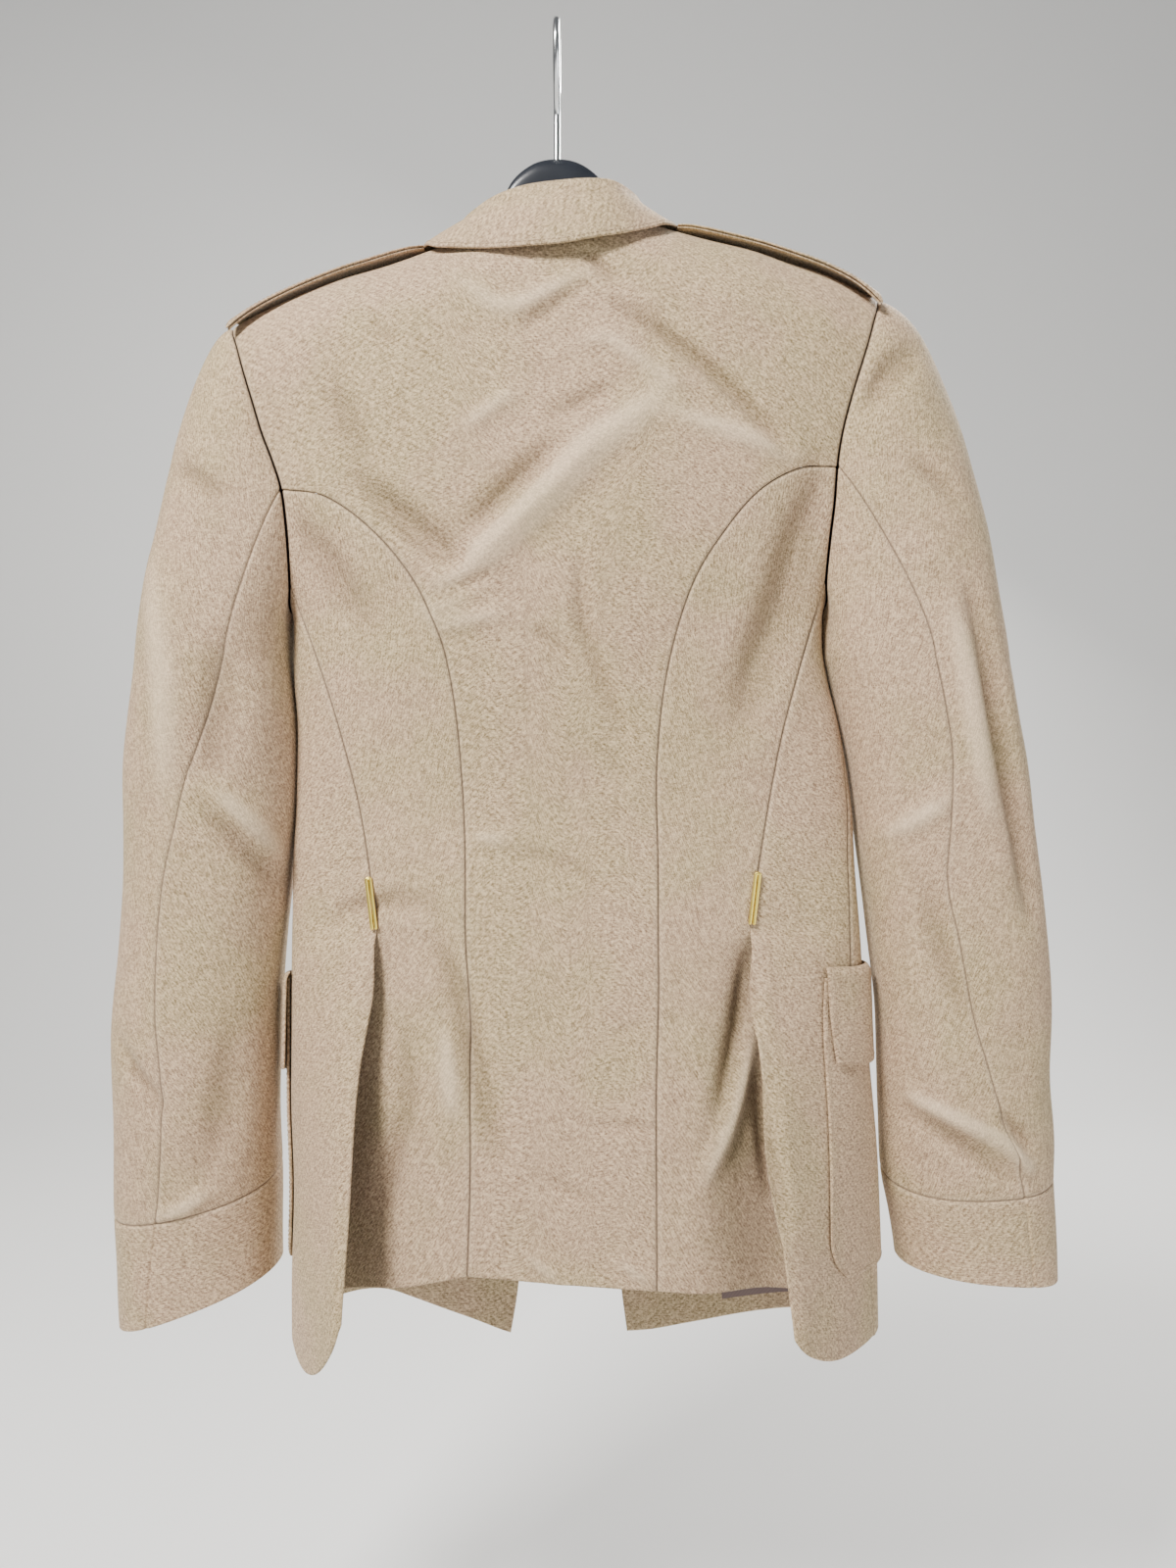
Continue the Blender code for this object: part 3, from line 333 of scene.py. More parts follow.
def torso(angle, height, layer="side"):
    """Points of the torso ring. The side layer flares at the vent. The back layer tucks in behind it."""
    angle = np.asarray(angle, float)
    height = np.asarray(height, float)
    sine, cosine = np.sin(np.radians(angle)), np.cos(np.radians(angle))
    wide = half_width(height, sine >= 0)
    deep = np.where(cosine >= 0, down(TORSO, 3, height), down(TORSO, 4, height))
    across = wide * full(sine)
    below = np.clip((shoulder_height(across) - height) / SHOULDER_ROUND, 0, 1)
    rounding = np.sqrt(np.clip(1 - (1 - below) ** 2, 0, 1))
    depth = -deep * full(cosine) * rounding
    if layer == "side":
        edge = np.where(sine >= 0, edge_angle(height, True), edge_angle(height, False))
        near = np.clip((LIFT_FROM - np.abs(angle)) / (LIFT_FROM - edge), 0, 1.1)
        depth = depth - down(VENT, 1, height) * near**LIFT_POWER
    else:
        near = np.clip((np.abs(across) - TUCK_FROM) / TUCK_REACH, 0, 1)
        depth = depth + down(VENT, 2, height) * near * near * (3 - 2 * near)
    return np.stack([across, depth, height], axis=-1)


def grid_normals(points, closed=False):
    """Unit normals of a grid of points, from the differences between its neighbours."""
    run = np.gradient(points, axis=0)
    if closed:
        side = (np.roll(points, -1, axis=1) - np.roll(points, 1, axis=1)) / 2
    else:
        side = np.gradient(points, axis=1)
    normal = np.cross(run, side)
    return normal / np.maximum(np.linalg.norm(normal, axis=2, keepdims=True), 1e-9)


def crease_field(across, height, creases):
    """Sum of the creases at each place. A crease falls off with the distance d to its line, in half widths.
    Part of it is (1 - d*d/2) exp(-d*d/2), a roll with a soft dip each side, and the rest is a narrower
    crest, exp(-CREST_FALL d) with its tip rounded. It fades to its two ends."""
    field = np.zeros(across.shape)
    for depth, width, places in creases:
        line = along(np.array(places, float), np.linspace(0, len(places) - 1, 6 * len(places)))
        step = line[1:] - line[:-1]
        lengths = np.linalg.norm(step, axis=1)
        total = lengths.sum()
        width = width * CREASE_SLIM
        reach = 4 * width
        near = (
            (across > line[:, 0].min() - reach)
            & (across < line[:, 0].max() + reach)
            & (height > line[:, 1].min() - reach)
            & (height < line[:, 1].max() + reach)
        )
        spot = np.stack([across[near], height[near]], axis=-1)
        best = np.full(len(spot), 1e9)
        place = np.zeros(len(spot))
        start = 0.0
        for a, s, size in zip(line[:-1], step, lengths):
            t = np.clip(((spot - a) @ s) / (size * size), 0, 1)
            gap = np.linalg.norm(spot - a - t[:, None] * s, axis=1)
            closer = gap < best
            best = np.where(closer, gap, best)
            place = np.where(closer, (start + t * size) / total, place)
            start += size
        d = best / width
        fade = np.sin(np.pi * np.clip(0.06 + 0.88 * place, 0, 1)) ** 0.7
        roll = (1 - 0.5 * d * d) * np.exp(-0.5 * d * d)
        crest = np.exp(-CREST_FALL * (np.sqrt(d * d + CREST_ROUND**2) - CREST_ROUND))
        field[near] += depth * fade * (ROLL_SHARE * roll + (1 - ROLL_SHARE) * crest)
    return field


def ripple(points):
    """Slow unevenness of hanging cloth: a few long waves across each other, under a millimetre high."""
    x, y, z = points[..., 0], points[..., 1], points[..., 2]
    return (
        0.45 * np.sin(x / 19 + 0.7 * np.sin(z / 47 + 1.3)) * np.sin(z / 61 + x / 150 + 0.4)
        + 0.35 * np.sin(z / 23 + x / 37 + y / 31 + 2.1)
        + 0.22 * np.sin(x / 9.5 - z / 15 + y / 14)
    )


def from_edge(points, closed=False):
    """Distance of each grid point to the grid's first and last row, and first and last column."""
    drop = np.linalg.norm(np.diff(points, axis=0), axis=2)
    drop = np.concatenate([0 * drop[:1], np.cumsum(drop, axis=0)])
    if closed:
        far = np.full(points.shape[:2], 1e3)
        return [drop, drop[-1:] - drop, far, far]
    run = np.linalg.norm(np.diff(points, axis=1), axis=2)
    run = np.concatenate([0 * run[:, :1], np.cumsum(run, axis=1)], axis=1)
    return [drop, drop[-1:] - drop, run, run[:, -1:] - run]


def share_rows(width, step=PANEL_STEP):
    """Shares across a panel, row by row: close together by its two edges, even between them."""
    width = np.asarray(width, float)[:, None]
    count = max(int(width.max() / step), 2)
    near = NEAR_EDGE / width
    middle = near[:, -1:] + (1 - 2 * near[:, -1:]) * np.linspace(0, 1, count + 1)
    return np.concatenate([near[:, :-1], middle, 1 - near[:, -2::-1]], axis=1)


def spaced(line, step, first=0, last=None):
    """Fractional rows at an even step along a line of points, closer at its two ends."""
    last = len(line) - 1 if last is None else last
    fine = np.linspace(first, last, 400)
    spots = along(line, fine)
    length = np.concatenate([[0], np.cumsum(np.linalg.norm(np.diff(spots, axis=0), axis=1))])
    count = max(int(length[-1] / step), 2)
    even = np.linspace(NEAR_EDGE[-1], length[-1] - NEAR_EDGE[-1], count + 1)
    places = np.concatenate([NEAR_EDGE[:-1], even, length[-1] - NEAR_EDGE[-2::-1]])
    return np.interp(places, length, fine)


def offset_curve(curve, amount):
    """Moves a seam in its own plane by an amount to one side."""
    run = np.gradient(curve, axis=0)
    run /= np.linalg.norm(run, axis=1, keepdims=True)
    return curve + amount * np.stack([run[:, 1], -run[:, 0]], axis=1)


# How a panel's four edges are finished: first row, last row, first column and last column. A seam edge turns
# in, so that the seam is a narrow groove. A folded edge is round. An edge without a kind is left alone.
SEAM_DIP = 0.9
SEAM_REACH = 1.1
FOLD_REACH = 1.3
FOLD_PINCH = 1.7
FAR_FROM_SEAM = 20.0
UNTURNED = ("", "", "", "")
FOLDED = ("fold", "fold", "fold", "fold")


def past_hook(height):
    """0 above the belt hook, where the side-back seam is sewn, and 1 below it, where the vent is open."""
    return np.clip((VENT_TOP - height) / VENT_OPENING, 0, 1)


def finish_edges(outer, normal, edges, closed=False):
    """Outer and inner wall of a panel from its outer surface. At a distance d from a seam edge both walls dip
    by SEAM_DIP exp(-(d / SEAM_REACH)^2), and at a folded edge they meet in a half round."""
    gaps = from_edge(outer, closed)
    dip = np.zeros(outer.shape[:2])
    thick = np.full(outer.shape[:2], CLOTH_THICK)
    for kind, gap in zip(edges, gaps):
        gap = gap + np.zeros(outer.shape[:2])
        if kind == "":
            continue
        free = {"seam": 0.0, "fold": 1.0, "vent": past_hook(outer[..., 2])}[kind]
        dip += (1 - free) * SEAM_DIP * np.exp(-((gap / SEAM_REACH) ** 2))
        part = np.clip(gap / FOLD_REACH, 0, 1)
        slim = free * CLOTH_THICK / 2 * (1 - np.sqrt(1 - (1 - part) ** 2))
        dip = np.maximum(dip, slim)
        thick = np.minimum(thick, CLOTH_THICK - FOLD_PINCH * slim)
    outer = outer - normal * dip[..., None]
    return outer, outer - normal * thick[..., None]


def grid_faces(rows, columns, closed=False):
    """Point numbers of a grid, with its first column once more at the end if it is closed, and its faces."""
    number = np.arange(rows * columns).reshape(rows, columns)
    if closed:
        number = np.concatenate([number, number[:, :1]], axis=1)
    quads = np.stack([number[:-1, :-1], number[:-1, 1:], number[1:, 1:], number[1:, :-1]], axis=-1)
    return number, quads.reshape(-1, 4)


def new_piece(name, points, faces, material):
    """Smooth piece from points in millimetres and a list of faces."""
    mesh = bpy.data.meshes.new(name)
    mesh.from_pydata((points.reshape(-1, 3) * MM).tolist(), [], faces)
    mesh.polygons.foreach_set("use_smooth", np.ones(len(faces), bool))
    mesh.materials.append(material)
    piece = bpy.data.objects.new(name, mesh)
    bpy.context.scene.collection.objects.link(piece)
    return piece


def point_values(mesh, name, first, second):
    """Attribute in metres from a value for each point of the outer wall and of the inner wall."""
    made = mesh.attributes.new(name, "FLOAT", "POINT")
    made.data.foreach_set("value", np.concatenate([first.ravel(), second.ravel()]) * MM)


def shell(name, outer, inner, inside=None, closed=False, lining=None, edges=UNTURNED, fold=None):
    """Closed shell of wool between two matching grids of points, with a UV map in metres along the cloth, and
    with two attributes, the distance to the nearest seam and the height of the creases. Faces of the inner
    wall take the inside material, all of them or those that the lining marks."""
    rows, columns = outer.shape[:2]
    points = np.concatenate([outer.reshape(-1, 3), inner.reshape(-1, 3)])
    number, front = grid_faces(rows, columns, closed)
    back = number + rows * columns
    behind = front[:, ::-1] + rows * columns
    rims = [
        np.stack([number[0, 1:], number[0, :-1], back[0, :-1], back[0, 1:]], axis=-1),
        np.stack([number[-1, :-1], number[-1, 1:], back[-1, 1:], back[-1, :-1]], axis=-1),
    ]
    if not closed:
        rims.append(np.stack([number[:-1, 0], number[1:, 0], back[1:, 0], back[:-1, 0]], axis=-1))
        rims.append(np.stack([number[1:, -1], number[:-1, -1], back[:-1, -1], back[1:, -1]], axis=-1))
    faces = np.concatenate([front, behind] + rims)
    corners = points[faces]
    across = np.cross(corners[:, 2] - corners[:, 0], corners[:, 3] - corners[:, 1])
    if (across * corners.mean(axis=1)).sum() < 0:
        faces = faces[:, ::-1]
    piece = new_piece(name, points, faces.tolist(), WOOL)
    mesh = piece.data
    if inside is not None:
        mesh.materials.append(inside)
        slot = np.zeros(len(faces), int)
        slot[len(front) : 2 * len(front)] = 1 if lining is None else lining.reshape(-1)
        mesh.polygons.foreach_set("material_index", slot)
    run = np.linalg.norm(np.diff(outer, axis=1), axis=2)
    run = np.concatenate([0 * run[:, :1], np.cumsum(run, axis=1)], axis=1)
    run = run - run[:, columns // 2 : columns // 2 + 1]
    fall = np.linalg.norm(np.diff(outer, axis=0), axis=2)
    fall = np.concatenate([0 * fall[:1], np.cumsum(fall, axis=0)])
    flat = np.stack([run, -fall], axis=-1).reshape(-1, 2) * MM
    order = np.empty(len(mesh.loops), np.int32)
    mesh.loops.foreach_get("vertex_index", order)
    mesh.uv_layers.new(name="cloth").data.foreach_set("uv", np.concatenate([flat, flat])[order].ravel())
    near = np.full((rows, columns), FAR_FROM_SEAM)
    for kind, gap in zip(edges, from_edge(outer, closed)):
        if kind in ("seam", "vent"):
            unsewn = past_hook(outer[..., 2]) if kind == "vent" else 0
            near = np.minimum(near, gap + FAR_FROM_SEAM * unsewn + np.zeros((rows, columns)))
    point_values(mesh, "seam", near, near)
    rise = np.zeros((rows, columns)) if fold is None else np.clip(fold, -5, 5)
    point_values(mesh, "crease", rise, -0.5 * rise)
    return piece


def node(tree, kind, **values):
    made = tree.nodes.new(kind)
    for key, value in values.items():
        if key in made.inputs:
            made.inputs[key].default_value = value
        else:
            setattr(made, key, value)
    return made


def mix_colours(tree, factor, low, high, blend="MIX"):
    """Mixes two colours, each a value or a socket, by a factor."""
    mix = node(tree, "ShaderNodeMix", data_type="RGBA", blend_type=blend)
    for socket, value in ((mix.inputs[0], factor), (mix.inputs[6], low), (mix.inputs[7], high)):
        if hasattr(value, "is_linked"):
            tree.links.new(value, socket)
        else:
            socket.default_value = value
    return mix.outputs[2]


def start_material(name):
    """New material with its node tree and its Principled shader."""
    material = bpy.data.materials.new(name)
    material.use_nodes = True
    return material, material.node_tree, material.node_tree.nodes["Principled BSDF"]


def noise_on(tree, vector, scale, detail, roughness=0.5):
    """Noise texture read on a vector."""
    noise = node(tree, "ShaderNodeTexNoise", Scale=scale, Detail=detail, Roughness=roughness)
    tree.links.new(vector, noise.inputs["Vector"])
    return noise.outputs["Fac"]


def bump_on(tree, height, shader, strength, distance):
    """Bump from a height, into the shader's normal."""
    bump = node(tree, "ShaderNodeBump", Strength=strength, Distance=distance)
    tree.links.new(height, bump.inputs["Height"])
    tree.links.new(bump.outputs["Normal"], shader.inputs["Normal"])


def ramp(tree, value, low, high):
    """Turns a value between low and high into 0 to 1, softly."""
    made = node(tree, "ShaderNodeMapRange", interpolation_type="SMOOTHSTEP")
    made.inputs["From Min"].default_value = low
    made.inputs["From Max"].default_value = high
    tree.links.new(value, made.inputs["Value"])
    return made.outputs["Result"]


def wool_twill():
    """Khaki-brown heather twill: light and dark fibres mixed at half a millimetre, slow pink and olive
    clouds, and fine diagonals a millimetre apart that also lift the surface."""
    material, tree, shader = start_material("wool_twill")
    spot = node(tree, "ShaderNodeTexCoord")
    body, cloth = spot.outputs["Object"], spot.outputs["UV"]
    stretch = node(tree, "ShaderNodeMapping")
    stretch.inputs["Scale"].default_value = (260, 1100, 1)
    tree.links.new(cloth, stretch.inputs["Vector"])
    # Each tone goes from dark to light between two values of its noise
    clouds = ramp(tree, noise_on(tree, body, 14, 3), 0.36, 0.64)
    patches = ramp(tree, noise_on(tree, body, 60, 4, 0.6), 0.34, 0.66)
    grain = ramp(tree, noise_on(tree, body, 330, 3, 0.65), 0.40, 0.60)
    fibres = ramp(tree, noise_on(tree, body, 600, 2, 0.7), 0.45, 0.57)
    hairs = ramp(tree, noise_on(tree, body, 1450, 1, 0.5), 0.44, 0.56)
    threads = ramp(tree, noise_on(tree, stretch.outputs["Vector"], 1.0, 2, 0.6), 0.40, 0.60)
    wave = node(tree, "ShaderNodeTexWave", wave_type="BANDS", bands_direction="DIAGONAL")
    wave.inputs["Scale"].default_value = 165.0
    wave.inputs["Distortion"].default_value = 1.2
    wave.inputs["Detail"].default_value = 1.0
    tree.links.new(cloth, wave.inputs["Vector"])
    twill = wave.outputs["Fac"]
    base = mix_colours(tree, clouds, (0.322, 0.200, 0.100, 1), (0.288, 0.204, 0.094, 1))
    base = mix_colours(tree, patches, base, mix_colours(tree, 0.55, base, (0.400, 0.236, 0.132, 1)))
    light = mix_colours(tree, 0.74, base, (0.84, 0.65, 0.42, 1))
    dark = mix_colours(tree, 0.85, base, (0.034, 0.016, 0.006, 1))
    for share, tone in ((0.30, grain), (0.84, fibres), (0.36, hairs), (0.34, threads), (0.14, twill)):
        base = mix_colours(tree, share, base, mix_colours(tree, tone, dark, light))
    shade = mix_colours(tree, clouds, (0.54, 0.33, 0.24, 1), (0.40, 0.33, 0.13, 1))
    base = mix_colours(tree, 0.16, base, shade)
    # Painted shade darkens the creases' troughs and a painted highlight lightens their ridges, by the crease
    # height. Painted shade also darkens a line along each seam, and a painted highlight a band beside it
    rise = node(tree, "ShaderNodeAttribute", attribute_name="crease")
    painted_trough_shade = ramp(tree, rise.outputs["Fac"], -0.0040, 0.0)
    painted_ridge_highlight = ramp(tree, rise.outputs["Fac"], 0.0, 0.0036)
    base = mix_colours(tree, painted_trough_shade, mix_colours(tree, 0.30, base, (0.08, 0.045, 0.022, 1)), base)
    base = mix_colours(tree, painted_ridge_highlight, base, mix_colours(tree, 0.36, base, (0.78, 0.62, 0.43, 1)))
    # Painted shade: a dark line along each seam, where the seam's groove lies in shade
    edge = node(tree, "ShaderNodeAttribute", attribute_name="seam")
    line = ramp(tree, edge.outputs["Fac"], 0.0001, 0.0010)
    base = mix_colours(tree, line, mix_colours(tree, 0.70, base, (0.07, 0.036, 0.020, 1)), base)
    # Painted highlight: a lighter band just beside each seam, where the seam's roll would catch the light
    roll = ramp(tree, edge.outputs["Fac"], 0.0011, 0.0040)
    base = mix_colours(tree, roll, mix_colours(tree, 0.10, base, (0.70, 0.57, 0.42, 1)), base)
    tree.links.new(base, shader.inputs["Base Color"])
    lift = node(tree, "ShaderNodeMath", operation="MULTIPLY_ADD")
    tree.links.new(twill, lift.inputs[0])
    lift.inputs[1].default_value = 0.5
    tree.links.new(fibres, lift.inputs[2])
    bump_on(tree, lift.outputs[0], shader, 0.35, 0.0005)
    shader.inputs["Roughness"].default_value = 0.85
    shader.inputs["Specular IOR Level"].default_value = 0.25
    shader.inputs["Sheen Weight"].default_value = 0.16
    shader.inputs["Sheen Roughness"].default_value = 0.45
    shader.inputs["Sheen Tint"].default_value = (0.95, 0.86, 0.74, 1)
    return material


def smooth_lining():
    """Purple-brown twill lining, satin smooth, with a fine rib."""
    material, tree, shader = start_material("lining")
    spot = node(tree, "ShaderNodeTexCoord")
    wave = node(tree, "ShaderNodeTexWave", wave_type="BANDS", bands_direction="DIAGONAL")
    wave.inputs["Scale"].default_value = 260.0
    tree.links.new(spot.outputs["UV"], wave.inputs["Vector"])
    noise = noise_on(tree, spot.outputs["Object"], 40, 3)
    base = mix_colours(tree, noise, (0.108, 0.062, 0.056, 1), (0.150, 0.092, 0.080, 1))
    base = mix_colours(tree, wave.outputs["Fac"], mix_colours(tree, 0.2, base, (0.02, 0.01, 0.01, 1)), base)
    tree.links.new(base, shader.inputs["Base Color"])
    bump_on(tree, wave.outputs["Fac"], shader, 0.15, 0.0002)
    shader.inputs["Roughness"].default_value = 0.42
    shader.inputs["Sheen Weight"].default_value = 0.15
    return material


WOOL = wool_twill()
LINING = smooth_lining()


def outward(points, normal):
    """Turns the normals to point away from the upright line through the body's centre."""
    away = points - BODY_CENTRE
    away[..., 2] = 0
    return normal if (normal * away).sum() > 0 else -normal


def place(piece, node_name):
    """Fixes a piece to the part's one body, in place of its solid, which it hides."""
    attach(piece, "root")
    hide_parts(node_name)
    return piece


SURFACES = {}


def cloth_piece(name, outer, inner, **more):
    """Shell that takes the place of the solid of that name, with _cloth after it."""
    place(shell(name + "_cloth", outer, inner, **more), name)


def armhole_ring(side):
    """Closed run of points round an armhole."""
    hole = along(ARMHOLE[side], np.linspace(0, UNDERARM_AT, 90))
    back = torso(back_angle(hole[:, 0], hole[:, 1]), hole[:, 1])
    front = torso(front_angle(hole[:, 2], hole[:, 3]), hole[:, 3])
    return np.concatenate([back, front])


ARMHOLES = np.concatenate([armhole_ring("left"), armhole_ring("right")])


def calm(points, reach=13.0):
    """0 on an armhole and 1 beyond the reach, so that body and sleeve meet whatever their creases do."""
    nearest = np.full(points.shape[:-1], 1e9)
    for spot in ARMHOLES:
        nearest = np.minimum(nearest, ((points - spot) ** 2).sum(axis=-1))
    t = np.clip(np.sqrt(nearest) / reach, 0, 1)
    return t * t * (3 - 2 * t)


def worn_rise(surface, normal, facing=0):
    """Height of the creases over a surface of the torso, and of the creases with the ripple."""
    fold = np.zeros(surface.shape[:2])
    for creases, side in ((BACK_CREASES, -1), (FRONT_CREASES, 1)):
        if facing in (0, side):
            toward = np.clip(side * normal[..., 1] * SIDE_SHARPNESS, 0, 1)
            fold += CREASE_GAIN * crease_field(surface[..., 0], surface[..., 2], creases) * toward
    quiet = calm(surface)
    return fold * quiet, (fold + ripple(surface)) * quiet


def torso_panel(name, surface, edges, facing, lining=None, roll=0.0):
    """Lined and creased shell on a surface of the torso, for the solid of that name. It takes the creases of
    one side, -1 for the back and 1 for the fronts, or of both. The roll turns it in towards the front."""
    normal = outward(surface, grid_normals(surface))
    fold, rise = worn_rise(surface, normal, facing)
    worn = surface + normal * rise[..., None]
    worn[..., 1] += roll
    normal = outward(worn, grid_normals(worn))
    outer, inner = finish_edges(worn, normal, edges)
    cloth_piece(name, outer, inner, inside=LINING, lining=lining, edges=edges, fold=fold)
    SURFACES[name] = worn, normal


ROW_AT = spaced((ROWS["left"][:, 2:4] + ROWS["right"][:, 2:4] * [-1, 1]) / 2, PANEL_STEP)
HOLE_AT = spaced(ARMHOLE["left"][:, 0:2], PANEL_STEP, 0, PRINCESS_AT)

back_edges = []
for side, sign in (("left", 1), ("right", -1)):
    seam = offset_curve(along(ROWS[side][:, 0:2], ROW_AT), -sign * GAP / 2)
    hole = along(ARMHOLE[side][:, 0:2], HOLE_AT[:-1])
    back_edges.append(np.concatenate([hole, seam]))
low, high = back_edges
row_index = np.concatenate([HOLE_AT[:-1], PRINCESS_AT + ROW_AT])
share = share_rows(np.linalg.norm(high - low, axis=1))
across = low[:, None, 0] * (1 - share) + high[:, None, 0] * share
level = low[:, None, 1] * (1 - share) + high[:, None, 1] * share
top_across = across[:1]
inside_neck = (top_across > NECK[0, 0]) & (top_across < NECK[-1, 0])
neck_height = smooth(NECK[:, 0], NECK[:, 1], top_across)
top = np.where(inside_neck, neck_height, shoulder_height(top_across))
top_at = np.stack([np.interp(s, share[0], top[0] - level[0]) for s in share])
fade = np.clip(1 - row_index / 11, 0, 1)[:, None] ** 1.3
heights = level + top_at * fade
BACK_EDGES = ("seam", "fold", "seam", "seam")
torso_panel("back_centre", torso(back_angle(across, heights), heights, "back"), BACK_EDGES, -1)

for side, sign in (("left", 1), ("right", -1)):
    inner_edge = offset_curve(along(ROWS[side][:, 0:2], ROW_AT), sign * GAP / 2)
    outer_edge = offset_curve(along(ROWS[side][:, 4:6], ROW_AT), -sign * GAP / 2)
    start = back_angle(inner_edge[:, 0], inner_edge[:, 1])
    end = back_angle(outer_edge[:, 0], outer_edge[:, 1])
    share = share_rows(np.linalg.norm(outer_edge - inner_edge, axis=1))
    angles = start[:, None] * (1 - share) + end[:, None] * share
    heights = inner_edge[:, None, 1] * (1 - share) + outer_edge[:, None, 1] * share
    hole = along(ARMHOLE[side][:, 0:2], PRINCESS_AT + share[0] * (SIDE_BACK_AT - PRINCESS_AT))
    # The top row follows the armhole, and the rows below ease from it to level
    ease = np.clip(1 - ROW_AT / 1.5, 0, 1)[:, None] ** 2
    angles = angles + (back_angle(hole[:, 0], hole[:, 1]) - angles[0]) * ease
    heights = heights + (hole[:, 1] - heights[0]) * ease
    torso_panel("back_side_" + side, torso(angles, heights, "back"), BACK_EDGES, -1)


# Side panels. Wool twill, from the side-back seam round to the side seam. The vent is open below the belt
# hook, and there the panel's rolled edge stands out over the back skirt.

# The hem's sag between the vent edge and the side seam, how far the vent edge rolls under and from how far
# in, the row at which the vent starts to open, and the angle by which each panel stays clear of the side seam
HEM_SAG = {"left": 13.0, "right": -2.0}
VENT_ROLL = {"left": (7.0, 15.0), "right": (3.0, 12.0)}
VENT_ROW = 9
SEAM_TURN = 0.1
SIDE_SHARE = np.array([0, 0.14, 0.28, 0.42, 0.56, 0.68, 0.79, 0.9, 1])


def side_place(side, row, share):
    """Angle and height on a side panel, at a row of the table and a share across from the vent edge."""
    rows = along(ROWS[side], row)
    angle = back_angle(rows[..., 2], rows[..., 3]) * (1 - share) + rows[..., 6] * share
    height = rows[..., 3] * (1 - share) + rows[..., 7] * share
    # The hem runs level from the side seam and turns up near the vent edge
    last = ROWS[side][-1]
    hem = last[7] + (last[3] - last[7]) * (1 - share) ** 5 - HEM_SAG[side] * np.sin(np.pi * share**0.6) ** 2
    near_hem = np.clip(row - (len(ROWS[side]) - 2), 0, 1)
    flat = last[3] * (1 - share) + last[7] * share
    return angle, height + (hem - flat) * near_hem


for side, sign in (("left", 1), ("right", -1)):
    edge = offset_curve(along(ROWS[side][:, 2:4], ROW_AT), sign * GAP / 2)
    first, half_way, last = (torso(*side_place(side, ROW_AT, part + 0 * ROW_AT)) for part in (0, 0.5, 1))
    width = np.linalg.norm(first - half_way, axis=1) + np.linalg.norm(last - half_way, axis=1)
    share = share_rows(width)
    angles, heights = side_place(side, ROW_AT[:, None] + 0 * share, share)
    slide = back_angle(edge[:, 0], edge[:, 1]) - angles[:, 0]
    angles = angles + slide[:, None] * (1 - share) + sign * SEAM_TURN * share
    spots = np.interp(share[0], [0, 0.56, 1], [SIDE_BACK_AT, 12, UNDERARM_AT])
    hole = along(ARMHOLE[side][:, 0:2], spots)
    ease = np.clip(1 - ROW_AT / 1.2, 0, 1)[:, None] ** 2
    angles = angles + (back_angle(hole[:, 0], hole[:, 1]) - angles[0]) * ease * np.sin(np.pi * share)
    heights = heights + (hole[:, 1] - heights[0]) * ease
    surface = torso(angles, heights)
    under, reach = VENT_ROLL[side]
    turned_in = np.clip(1 - from_edge(surface)[2] / reach, 0, 1) ** 1.4
    opened = np.clip((ROW_AT - VENT_ROW) / 1.5, 0, 1)[:, None]
    roll = under * turned_in * opened
    torso_panel("side_panel_" + side, surface, ("seam", "fold", "vent", "seam"), 0, roll=roll)


# Fronts. Wool twill, one piece a side from the shoulder seam to the hem, unbuttoned and hanging apart. Their
# inside is faced with the same cloth behind the front edge and the hem, and lined beyond that.

FRONT_EDGE = {
    "left": np.array(
        [
            (-67, -135.5), (-60, -150), (-51, -187), (-41, -240), (-31.5, -298), (-24, -358), (-18, -410),
            (-20, -500), (-23, -600), (-25.5, -710), (-27, -793), (-31.5, -821),
        ]
    ),
    "right": np.array(
        [
            (63, -124.5), (57, -141), (48, -180), (40.5, -235), (34.5, -295), (29, -357), (26, -409),
            (29.5, -500), (34, -600), (38.5, -710), (41, -793), (44.5, -820),
        ]
    ),
}
FRONT_SHARE = np.array([0, 0.05, 0.11, 0.18, 0.27, 0.38, 0.5, 0.64, 0.78, 0.9, 1])
FRONT_HEM = np.array(
    [
        (-170, -793), (-150, -789), (-110, -788), (-95, -794.5), (-58, -810.5), (-31.5, -821), (44.5, -820),
        (58, -819), (83, -813.6), (122, -804), (146, -799), (200, -790),
    ]
)
FACING_WIDTH = 62.0
HEM_DEPTH = 8.5


